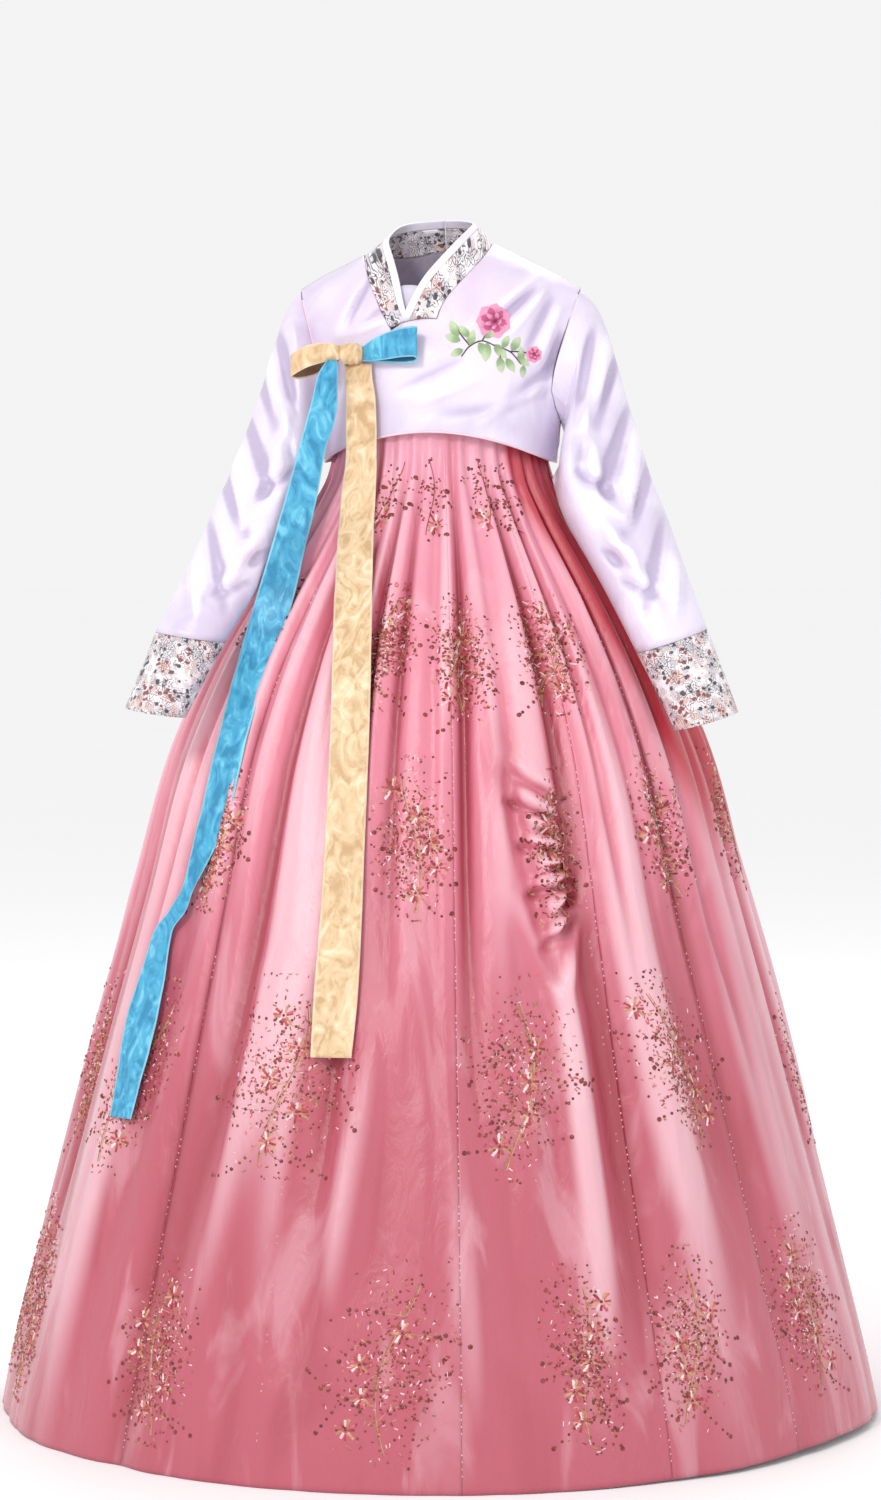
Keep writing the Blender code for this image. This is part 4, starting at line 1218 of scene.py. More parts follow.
    def gathering(self, column: np.ndarray, height: np.ndarray) -> np.ndarray:
        """Outward offset of the gathers below the band, no two alike.

        Args:
            column: column numbers.
            height: heights above the hem.

        Returns:
            The offsets.
        """
        number = column / self.gather_columns
        uneven = 0.75 + self.gather_slow.at(number) * self.gather_slower.at(number)
        low_end = self.gather_end.at(number)
        fade = 0.30 + 0.70 * ease(height, low_end - 0.22, low_end + 0.20)
        free = ease(height, *self.free_heights)
        phase = 2.0 * math.pi * number + self.gather_drift * np.sin(0.97 * number + 3.5 * height) * free
        wave = 1.0 - 2.0 * (0.5 + 0.5 * np.cos(phase)) ** (1.0 + 1.1 * free)
        swell = 1.0 + free * (1.35 * uneven * fade - 0.50)
        return through(self.gathers, height)[..., 0] * self.gather_depth.at(number) * wave * swell

    def folding(self, azimuth: np.ndarray, height: np.ndarray) -> np.ndarray:
        """Outward offset of the broad waves and the long folds.

        Args:
            azimuth: azimuths.
            height: heights above the hem.

        Returns:
            The offsets.
        """
        total = np.zeros_like(azimuth)
        for depth, waves, start, sway in self.broad_waves:
            total = total + depth * np.sin(np.radians(waves * azimuth) + start + sway.at(height))
        total = total * ease(height, *self.broad_top) * ease(height, *self.broad_low)
        for centre, half_angle, top, peak, bottom, depth in self.long_folds:
            along = np.where(height > peak, 1.0 - ease(height, peak, top), ease(height, bottom, peak))
            total = total + depth * np.exp(-(self.apart(azimuth, centre) / half_angle) ** 2) * along
        return total

    def apart(self, azimuth: np.ndarray, centre: float) -> np.ndarray:
        """Degrees from a centre to azimuths, the short way round."""
        return (azimuth - centre + 180.0) % 360.0 - 180.0

    def relief(self, column: np.ndarray, azimuth: np.ndarray, height: np.ndarray) -> np.ndarray:
        """Outward offset of the gathers, folds and creases.

        Args:
            column: column numbers.
            azimuth: azimuths there.
            height: heights above the hem.

        Returns:
            The offsets.
        """
        total = self.gathering(column, height) + self.folding(azimuth, height)
        reach = through(self.profile, height)[..., 0]
        for one, low, two, high, width, depth in self.creases:
            middle = (one + two) / 2.0
            across = np.radians(self.apart(azimuth, middle)) * reach
            scale = math.radians(1.0) * self.half_width_at((low + high) / 2.0)
            ends = ((one - middle) * scale, low), ((two - middle) * scale, high)
            total = total + Crease(*ends, width, depth).relief(across, height)
        return total

    def surface(self, column: np.ndarray, height: np.ndarray) -> np.ndarray:
        """Points of the cloth.

        Args:
            column: column numbers.
            height: heights above the hem.

        Returns:
            The points in the row frame.
        """
        azimuth = self.azimuth(column)
        angle = np.radians(azimuth)
        size = through(self.profile, height)
        half_width, half_depth = size[..., 0], size[..., 1]
        across = unit(np.stack([np.sin(angle) / half_width, -np.cos(angle) / half_depth], axis=-1))
        relief = self.relief(column, azimuth, height)
        apart = (azimuth - self.hem_rise_azimuth) / self.hem_rise_half_angle
        rise = self.hem_rise * np.exp(-apart ** 2) * (1.0 - ease(height, 0.0, self.hem_rise_top))
        return np.stack([half_width * np.sin(angle) + across[..., 0] * relief,
                         -half_depth * np.cos(angle) + across[..., 1] * relief,
                         height + rise - HOLD_HEIGHT], axis=-1)

    def heights(self, puckered: bool) -> np.ndarray:
        """Heights of a gore's rows, closer together near the band and across the puckers.

        Args:
            puckered: whether the gore has the puckers.

        Returns:
            The heights from the band down.
        """
        rows = self.profile[0][0] * (1.0 - np.linspace(0.0, 1.0, self.rows) ** self.row_crowding)
        if puckered:
            rows = np.concatenate([rows, np.arange(self.pucker_low, self.pucker_high, self.pucker_step)])
        rows = np.sort(rows)[::-1]
        keep = np.concatenate([[True], np.diff(rows) < -self.row_gap])
        keep[-1] = True
        return rows[keep]

    def gore(self, number: int, first: int, last: int) -> tuple[np.ndarray, np.ndarray]:
        """Make one gore.

        Args:
            number: its number from 0.
            first: column of its first seam.
            last: column of its last seam.

        Returns:
            Its vertices, and its faces by its own vertex numbers.
        """
        near = number in self.puckered
        height = self.heights(near)
        cells = (last - first) * (2 * self.fine if near else self.fine)
        column = np.linspace(first, last, cells + 1)
        inset = column.copy()
        inset[0] += self.seam_gap
        inset[-1] -= self.seam_gap
        columns, rows = np.broadcast_arrays(inset[None, :], height[:, None])
        grid = self.surface(columns, rows)
        faces = grid_faces(len(height), len(column))
        length = self.profile[0][0] - height
        layout = np.stack(np.broadcast_arrays(column[None, :] * self.column_width, length[:, None]), axis=-1)
        gore = make_object(f"skirt_gore_{number + 1}", grid.reshape(-1, 3), faces[:, ::-1], self.cloth,
                           layout.reshape(-1, 2))
        folds = self.relief(columns, self.azimuth(columns), rows)
        mark_folds(gore, 0.5 + folds.ravel() / self.full_relief)
        thicken(gore, self.cloth_thickness)
        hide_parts(f"skirt_panel_{number + 1}")
        return grid.reshape(-1, 3), faces

    def build(self) -> Ground:
        """Make the gores.

        Returns:
            The cloth that the sprays are sewn on.
        """
        edges = list(self.seams) + [self.cad_columns]
        points, faces, count = [], [], 0
        for number, (first, last) in enumerate(zip(edges, edges[1:])):
            grid, own_faces = self.gore(number, first, last)
            points.append(grid)
            faces.append(own_faces + count)
            count += len(grid)
        return Ground(np.vstack(points), np.vstack(faces))

    def half_width_at(self, height: float) -> float:
        """Half width of the skirt at one height."""
        return float(through(self.profile, np.array([height]))[0, 0])


@dataclass
class Sprays:
    """Branching sprays of thread, beads and bugle beads scattered over the skirt."""

    ground: Ground
    skirt: Skirt
    batches: dict[str, Batch]
    large: float = 0.06
    lowest: float = 0.012
    highest: float = 1.13
    start_out: float = 0.12
    stem_ends: Pair = (-0.9, 0.75)
    stem_points: int = 22
    branch_points: int = 24
    thread_points: int = 12
    stem_thread: Pair = (0.0016, 0.0007)
    branch_thread: Pair = (0.0012, 0.0006)
    strand_apart: float = 0.0012
    branch_reach: Pair = (0.65, 1.1)
    branch_rise: Pair = (-0.6, 0.4)
    dot_step: float = 0.01
    dot_radius: Pair = (0.002, 0.003)
    dot_rise: float = 0.0015
    tip_bead: Pair = (0.0036, 0.0018)
    heart_bead: Pair = (0.0022, 0.0018)
    petals: int = 11
    petal_root: float = 0.003
    petal_tip: Pair = (0.01, 0.015)
    petal_dash: Pair = (0.004, 0.0014)
    petal_threads: tuple[str, ...] = ("deep", "rose", "tan", "pale")
    spread: float = 0.42
    bugle_half: Pair = (0.0013, 0.003)
    bugle_width: Pair = (0.0014, 0.0022)
    bugle_rise: float = 0.0013
    loose_radius: Pair = (0.0014, 0.0024)
    loose_rise: float = 0.0016
    bugle_shares: tuple[tuple[float, str], ...] = (
        (0.4, "pale"), (0.54, "tan"), (0.74, "rose"), (0.95, "deep"), (1.0, "olive"))
    table: tuple[SprayRow, ...] = (
        # azimuth, height, half_width, half_length, lean
        (-28.0, 1.085, 0.024, 0.045, 0.1), (-6.0, 1.08, 0.026, 0.05, -0.1), (24.0, 1.085, 0.026, 0.05, 0.1),
        (36.0, 1.075, 0.022, 0.045, 0.2), (-58.0, 0.92, 0.035, 0.065, 0.0), (-16.0, 0.91, 0.04, 0.07, 0.1),
        (6.0, 0.9, 0.042, 0.07, -0.1), (31.0, 0.905, 0.048, 0.07, 0.1), (-50.0, 0.69, 0.04, 0.08, 0.1),
        (-6.0, 0.7, 0.05, 0.09, 0.0), (24.0, 0.69, 0.036, 0.085, 0.1), (52.0, 0.7, 0.045, 0.085, -0.1),
        (-58.0, 0.42, 0.055, 0.11, 0.2), (-26.0, 0.44, 0.085, 0.11, 0.0), (13.0, 0.44, 0.07, 0.11, 0.1),
        (42.0, 0.45, 0.065, 0.1, -0.2), (-76.0, 0.13, 0.06, 0.1, 0.1), (-42.0, 0.13, 0.06, 0.1, 0.0),
        (-6.0, 0.14, 0.085, 0.11, 0.1), (20.0, 0.14, 0.05, 0.1, -0.1), (36.0, 0.15, 0.05, 0.1, 0.1),
        (60.0, 0.16, 0.07, 0.1, 0.0), (84.0, 0.42, 0.06, 0.1, 0.1), (80.0, 0.7, 0.045, 0.085, 0.0),
        (98.0, 0.15, 0.07, 0.1, -0.1), (116.0, 0.44, 0.065, 0.105, 0.1), (112.0, 0.71, 0.045, 0.085, 0.1),
        (132.0, 0.15, 0.07, 0.105, 0.1), (148.0, 0.45, 0.07, 0.105, -0.1), (146.0, 0.72, 0.045, 0.085, 0.0),
        (168.0, 0.15, 0.075, 0.105, 0.0), (182.0, 0.44, 0.07, 0.105, 0.1), (180.0, 0.71, 0.048, 0.085, -0.1),
        (204.0, 0.15, 0.07, 0.105, 0.1), (216.0, 0.45, 0.07, 0.105, -0.1), (214.0, 0.7, 0.045, 0.085, 0.1),
        (240.0, 0.15, 0.07, 0.105, 0.0), (250.0, 0.44, 0.068, 0.105, 0.1), (248.0, 0.71, 0.045, 0.085, 0.0),
        (274.0, 0.15, 0.065, 0.105, 0.1), (276.0, 0.42, 0.05, 0.1, -0.1), (90.0, 0.915, 0.036, 0.065, 0.0),
        (140.0, 0.915, 0.036, 0.065, 0.1), (190.0, 0.915, 0.038, 0.065, 0.0),
        (240.0, 0.915, 0.036, 0.065, -0.1))

    def spot(self, middle: Pair, across: float, up: float) -> Met | None:
        """Place of a point of a spray on the cloth.

        Args:
            middle: azimuth and height of the spray's middle.
            across: offset to the side.
            up: offset upward.

        Returns:
            The place and the normal, or none past the hem or the band.
        """
        high = middle[1] + up
        if not self.lowest < high < self.highest:
            return None
        reach = self.skirt.half_width_at(high)
        angle = math.radians(middle[0]) + across / reach
        out = np.array((math.sin(angle), -math.cos(angle), 0.0))
        start = out * (reach + self.start_out) + np.array((0.0, 0.0, high - HOLD_HEIGHT))
        return self.ground.meet(start, -out)

    def line(self, middle: Pair, path: np.ndarray) -> Met:
        """Lay a line of offsets on the cloth."""
        return rows_of([self.spot(middle, across, up) for across, up in path])

    def branch(self, thread: str, row: SprayRow, root: np.ndarray, side: float, chance: Chance) -> None:
        """Sew one branch of thread with beads along its outer part.

        Args:
            thread: what it is sewn with.
            row: the spray.
            root: where it leaves the stem.
            side: 1 to the left, -1 to the right.
            chance: the spray's source of variation.
        """
        azimuth, height, wide, tall, _ = row
        reach = wide * chance.uniform(*self.branch_reach)
        rise = tall * chance.uniform(*self.branch_rise)
        share = np.linspace(0.0, 1.0, self.branch_points)[:, None]
        tip = root + np.array((side * reach, rise))
        bend = np.array((0.0, 0.25 * tall * side * chance.uniform(-1.0, 1.0)))
        path = root + (tip - root) * share + bend * share * (1.0 - share) * 2.0
        places, normals = self.line((azimuth, height), path)
        if len(places) <= 4:
            return
        near = slice(0, self.thread_points)
        self.batches[thread].strand(places[near], normals[near], *self.branch_thread)
        dark = self.batches["dark"]
        gone = np.concatenate([[0.0], np.cumsum(np.linalg.norm(np.diff(places, axis=0), axis=1))])
        for at in np.arange(0.35 * gone[-1], gone[-1], self.dot_step):
            spot = int(np.searchsorted(gone, at))
            dark.bead((places[spot], normals[spot]), chance.uniform(*self.dot_radius), self.dot_rise)
        dark.bead((places[-1], normals[-1]), *self.tip_bead)

    def spray(self, number: int, row: SprayRow) -> None:
        """Sew one spray.

        Args:
            number: number of the spray, which makes it unlike the others.
            row: its row of the table.
        """
        azimuth, height, wide, tall, lean = row
        chance = np.random.default_rng(400 + number)
        large = tall > self.large
        along = np.linspace(*self.stem_ends, self.stem_points)
        bow = 0.25 * wide * np.sin(2.4 * along + number)
        stem = np.stack([bow + lean * tall * along, tall * along], axis=1)
        strands = (("olive", -self.strand_apart), ("tan", self.strand_apart)) if large else (("deep", 0.0),)
        for strand, shift in strands:
            places, normals = self.line((azimuth, height), stem + np.array((shift, 0.0)))
            if len(places) > 2:
                self.batches[strand].strand(places, normals, *self.stem_thread)
        branches = 9 + number % 3 if large else 5
        for branch in range(branches):
            self.branch("tan" if branch % 3 else "olive", row, stem[3 + branch * 16 // branches],
                        1.0 if (branch + number) % 2 else -1.0, chance)
        for bloom in range(4 + number % 2 if large else 1):
            place = stem[3 + bloom * 4] + np.array((chance.uniform(-0.45, 0.45) * wide, 0.0))
            self.bloom((azimuth, height), place, chance)
        amount = 3 * int(2600 * (wide + 0.02) * (tall + 0.02) / 0.01)
        for _ in range(min(620, amount) if large else 60):
            self.scatter(row, chance)

    def bloom(self, middle: Pair, place: np.ndarray, chance: Chance) -> None:
        """Sew one small blossom of deep and pale stitches round a dark bead.

        Args:
            middle: azimuth and height of the spray's middle.
            place: offset of the blossom.
            chance: the spray's source of variation.
        """
        heart = self.spot(middle, *place)
        if heart is None:
            return
        self.batches["dark"].bead(heart, *self.heart_bead)
        for petal in range(self.petals):
            angle = petal * 2.0 * math.pi / self.petals + chance.uniform(-0.2, 0.2)
            way = np.array((math.cos(angle), math.sin(angle)))
            inner = self.spot(middle, *(place + way * self.petal_root))
            outer = self.spot(middle, *(place + way * chance.uniform(*self.petal_tip)))
            if inner and outer:
                name = self.petal_threads[petal % len(self.petal_threads)]
                self.batches[name].dash(inner, outer, *self.petal_dash)

    def scatter(self, row: SprayRow, chance: Chance) -> None:
        """Sew one bugle bead or bead somewhere in the spray.

        Args:
            row: the spray.
            chance: the spray's source of variation.
        """
        azimuth, height, wide, tall, lean = row
        up = float(np.clip(chance.normal(0.0, self.spread), -1.0, 1.0))
        narrowing = math.sqrt(max(0.05, 1.0 - 0.6 * up * up))
        across = float(np.clip(chance.normal(0.0, self.spread), -1.0, 1.0)) * narrowing
        place = np.array((across * wide + lean * tall * up, up * tall))
        angle = chance.uniform(0.0, math.pi)
        step = np.array((math.cos(angle), math.sin(angle))) * chance.uniform(*self.bugle_half)
        one, two = (self.spot((azimuth, height), *end) for end in (place - step, place + step))
        if one is None or two is None:
            return
        pick = chance.uniform()
        if pick < (0.30 if tall > self.large else 0.70):
            self.batches["dark"].bead(one, chance.uniform(*self.loose_radius), self.loose_rise)
            return
        name = next(name for limit, name in self.bugle_shares if pick < limit)
        self.batches[name].dash(one, two, chance.uniform(*self.bugle_width), self.bugle_rise)

    def build(self) -> None:
        """Sew every spray and make one mesh of each kind of thread or bead."""
        for number, row in enumerate(self.table):
            self.spray(number, row)
        LOG.info("%d sprays on the skirt", len(self.table))
        for batch in self.batches.values():
            batch.build()


@dataclass
class Jacket:
    """The short wrapped jacket: fronts, backs and sleeves with their creases."""

    cloth: Material
    cuts: tuple[Cut, ...] = (
        Cut("jacket_front_left", (0.285, 0.274), 0.0502, 3),
        Cut("jacket_front_right", (0.171, 0.257), 0.0301), Cut("jacket_back_left", (0.196, 0.273), 0.0426),
        Cut("jacket_back_right", (0.196, 0.262), 0.0411), Cut("sleeve_left", (0.339, 0.45), 0.1231, 3),
        Cut("sleeve_right", (0.299, 0.463), 0.1125, 3))
    sleeve_middle: tuple[Pair, ...] = (
        # height, y of the sleeve's middle
        (0.8, -0.165), (0.92, -0.146), (1.02, -0.1), (1.1, -0.068), (1.16, -0.02), (1.3, 0.0))
    sleeve_turn: float = 0.03
    sleeve_low: Pair = (0.905, 0.94)
    sleeve_top: Pair = (1.25, 1.31)
    right_shift: float = -0.012
    sideways: float = 0.35
    front_creases: tuple[CreaseRow, ...] = (
        # x_1, height_1, x_2, height_2, width, depth
        (0.118, 1.338, 0.034, 1.272, 0.0065, 0.0045), (0.112, 1.322, 0.05, 1.262, 0.007, -0.005),
        (0.126, 1.326, 0.078, 1.262, 0.006, 0.0045), (0.132, 1.31, 0.096, 1.24, 0.007, -0.005),
        (0.138, 1.3, 0.112, 1.226, 0.006, 0.0045), (0.142, 1.27, 0.118, 1.19, 0.008, -0.0055),
        (0.134, 1.235, 0.07, 1.176, 0.008, -0.005), (0.128, 1.212, 0.044, 1.166, 0.007, 0.0042),
        (0.1, 1.184, 0.0, 1.172, 0.009, -0.0038), (0.03, 1.236, -0.05, 1.2, 0.009, -0.0036),
        (0.052, 1.218, -0.03, 1.184, 0.008, 0.0034), (-0.076, 1.34, -0.112, 1.278, 0.0065, -0.005),
        (-0.092, 1.33, -0.124, 1.262, 0.006, 0.0042), (-0.06, 1.3, -0.104, 1.27, 0.0065, -0.0042),
        (-0.064, 1.284, -0.12, 1.262, 0.006, 0.0038), (-0.116, 1.256, -0.132, 1.18, 0.008, -0.005))
    back_creases: tuple[CreaseRow, ...] = (
        (0.12, 1.31, 0.05, 1.24, 0.007, -0.0048), (0.128, 1.29, 0.07, 1.214, 0.007, 0.0042),
        (-0.12, 1.31, -0.052, 1.245, 0.007, -0.0048), (-0.126, 1.286, -0.074, 1.21, 0.007, 0.0042),
        (0.1, 1.19, -0.01, 1.174, 0.009, 0.0038), (-0.11, 1.2, -0.04, 1.166, 0.008, -0.0042),
        (0.03, 1.335, 0.086, 1.3, 0.008, -0.0038), (-0.04, 1.335, -0.094, 1.298, 0.008, -0.0038))
    sleeve_creases: tuple[CreaseRow, ...] = (
        (0.182, 1.285, 0.158, 1.165, 0.008, -0.008), (0.196, 1.262, 0.176, 1.14, 0.007, 0.007),
        (0.206, 1.24, 0.16, 1.11, 0.009, -0.008), (0.164, 1.19, 0.186, 1.06, 0.008, 0.0075),
        (0.222, 1.19, 0.184, 1.07, 0.009, -0.008), (0.232, 1.16, 0.212, 1.01, 0.008, 0.0075),
        (0.156, 1.11, 0.204, 1.08, 0.0075, -0.0075), (0.166, 1.086, 0.214, 1.05, 0.007, 0.006),
        (0.244, 1.11, 0.2, 1.0, 0.009, -0.0075), (0.188, 1.05, 0.246, 0.96, 0.008, 0.0075),
        (0.258, 1.06, 0.236, 0.94, 0.008, -0.007), (0.184, 1.02, 0.232, 0.99, 0.0075, -0.007),
        (0.204, 0.984, 0.262, 0.962, 0.007, -0.0062), (0.272, 1.01, 0.266, 0.94, 0.007, 0.0055))

    def hang(self, creases: Sequence[CreaseRow], back: bool) -> Offset:
        """Offset that presses creases into the front or back of a piece.

        Args:
            creases: the creases, seen from the front.
            back: whether they lie on the back.

        Returns:
            The offset function.
        """
        def offset(points: np.ndarray) -> tuple[np.ndarray, np.ndarray]:
            """Move points along the fore-and-aft axis.

            Args:
                points: the points.

            Returns:
                Their offsets and the depth of relief.
            """
            depth = relief_of(creases, points[:, 0], points[:, 2] + HOLD_HEIGHT)
            out = np.zeros_like(points)
            out[:, 1] = depth if back else -depth
            return out, depth
        return offset

    def sleeve_offset(self, side: Side) -> Offset:
        """Offset that presses creases into the front and back of a sleeve.

        Args:
            side: which sleeve.

        Returns:
            The offset function.
        """
        def offset(points: np.ndarray) -> tuple[np.ndarray, np.ndarray]:
            """Move front points forward or back, and back points the other way.

            Args:
                points: the points.

            Returns:
                Their offsets and the depth of relief.
            """
            high = points[:, 2] + HOLD_HEIGHT
            middle = through(self.sleeve_middle, high)[:, 0]
            ahead = np.clip((middle - points[:, 1]) / self.sleeve_turn, -1.0, 1.0)
            hold = ease(high, *self.sleeve_low) * (1.0 - ease(high, *self.sleeve_top))
            shift = self.right_shift if side is Side.RIGHT else 0.0
            depth = relief_of(self.sleeve_creases, points[:, 0] * side.value + shift, high) * hold
            out = np.zeros_like(points)
            out[:, 1] = -depth * ahead
            out[:, 0] = self.sideways * depth * side.value * np.abs(ahead)
            return out, depth
        return offset

    def build(self, frame: dict) -> dict[str, Piece]:
        """Make the panels and sleeves.

        Args:
            frame: the loaded frame.

        Returns:
            The pieces by their solids' names.
        """
        front, back = self.hang(self.front_creases, False), self.hang(self.back_creases, True)
        left, right = self.sleeve_offset(Side.LEFT), self.sleeve_offset(Side.RIGHT)
        made = {}
        for cut, offset in zip(self.cuts, (front, front, back, back, left, right)):
            shell = SolidShell(cut, "jacket_satin", self.cloth, Lay.HUNG).build(frame)
            push(shell, offset)
            made[cut.node] = shell
        return made


@dataclass
class Trim:
    """Collar, its edging, the cuffs and the inner band."""

    over_brocade: Material
    under_brocade: Material
    edging: Material
    cotton: Material
    collars: tuple[Cut, Cut] = (
        Cut("collar_left", (0.0288, 0.257), 0.0074), Cut("collar_right", (0.0288, 0.247), 0.0071))
    edgings: tuple[Cut, Cut] = (
        Cut("collar_edging_left", (0.0108, 0.26), 0.0028),
        Cut("collar_edging_right", (0.0108, 0.241), 0.0026))
    cuffs: tuple[Cut, Cut] = (
        Cut("cuff_left", (0.247, 0.11), 0.0255), Cut("cuff_right", (0.232, 0.105), 0.0227))
    cuff_axes: tuple[tuple[Point, Point], ...] = (
        ((0.2664, -0.1467, -0.4471), (0.3037, -0.184, -0.5362)),
        ((-0.2878, -0.1412, -0.4432), (-0.326, -0.176, -0.5271)))
    cuff_radius: float = 0.037
    seam_jump: float = 0.1
    band: Cut = Cut("skirt_band", (0.778, 0.154), 0.0756)

    def lay_collar(self, piece: Piece) -> None:
        """Give a collar cloth coordinates in metres.

        Args:
            piece: the collar.
        """
        points = points_of(piece)
        turn = np.arctan2(points[:, 1] - 0.01, points[:, 0] + 0.012)
        across = points[:, 0] + 0.02 * np.sin(turn)
        layout = np.stack([across, points[:, 2] - 0.6 * points[:, 1]], axis=1)
        write_layer(piece.data, "layout", layout[corner_points(piece.data)])

    def lay_cuff(self, piece: Piece, axis: tuple[Point, Point]) -> None:
        """Give a cuff cloth coordinates in metres, without a jump across the face where the turn closes.

        Args:
            piece: the cuff.
            axis: ends of its axis.
        """
        start, end = np.array(axis[0]), np.array(axis[1])
        run = unit(end - start)
        side = unit(np.cross(run, (0.0, 1.0, 0.0)))
        away = points_of(piece) - start
        angle = np.arctan2(away @ np.cross(side, run), away @ side)
        values = np.stack([angle * self.cuff_radius, away @ run], axis=1)[corner_points(piece.data)]
        turn = 2.0 * math.pi * self.cuff_radius
        for face in piece.data.polygons:
            around = values[face.loop_start:face.loop_start + face.loop_total, 0]
            if around.max() - around.min() > self.seam_jump:
                around[around < 0.0] += turn
        write_layer(piece.data, "layout", values)

    def build(self, frame: dict) -> None:
        """Make the trim.

        Args:
            frame: the loaded frame.
        """
        for cut, brocade in zip(self.collars, (self.over_brocade, self.under_brocade)):
            self.lay_collar(SolidShell(cut, "collar_brocade", brocade, Lay.FOLDED).build(frame))
        for cut in self.edgings:
            SolidShell(cut, "collar_edging", self.edging, Lay.FOLDED).build(frame)
        for cut, axis in zip(self.cuffs, self.cuff_axes):
            self.lay_cuff(SolidShell(cut, "collar_brocade", self.over_brocade, Lay.HUNG).build(frame), axis)
        SolidShell(self.band, "band_cotton", self.cotton, Lay.HUNG).build(frame)


@dataclass
class Ribbon:
    """One length of ribbon laid through rows of edge points."""

    name: str
    node: str
    slot: str
    material: Material
    left: np.ndarray
    right: np.ndarray
    wide: float
    lay: Lay
    ripple: float = 0.0012
    crown: float = 0.0008
    rows: int = 180
    columns: int = 13
    cloth: float = 0.0008
    ripples: Table = ((1.0, 31.0, 2.0), (1.0, 73.0, -3.1), (0.6, 139.0, 4.0))

    def build(self) -> None:
        """Make the ribbon."""
        middle = (self.left + self.right) / 2.0
        place = np.concatenate([[0.0], np.cumsum(np.linalg.norm(np.diff(middle, axis=0), axis=1))])
        at = np.linspace(0.0, place[-1], self.rows)
        left = through(np.column_stack([place, self.left]), at)
        right = through(np.column_stack([place, self.right]), at)
        share = np.linspace(0.0, 1.0, self.columns)
        grid = left[:, None] + (right - left)[:, None] * share[None, :, None]
        normal = unit(np.cross(np.gradient(grid, axis=1), np.gradient(grid, axis=0)))
        wave = sum(size * np.sin(rate * at[:, None] + skew * share) for size, rate, skew in self.ripples)
        bulge = self.crown * np.sin(math.pi * share)[None, :] + self.ripple * 0.3 * (wave + 2.2)
        grid = grid + normal * bulge[..., None]
        layout = np.stack(np.broadcast_arrays(share[None, :], at[:, None]), axis=-1)
        faces = grid_faces(self.rows, self.columns)
        made = make_object(self.name, grid.reshape(-1, 3), faces[:, ::-1], self.material,
                           layout.reshape(-1, 2))
        thicken(made, self.cloth)
        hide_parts(self.node)
        LOG.info("%s, %.3f m long", self.name, place[-1])


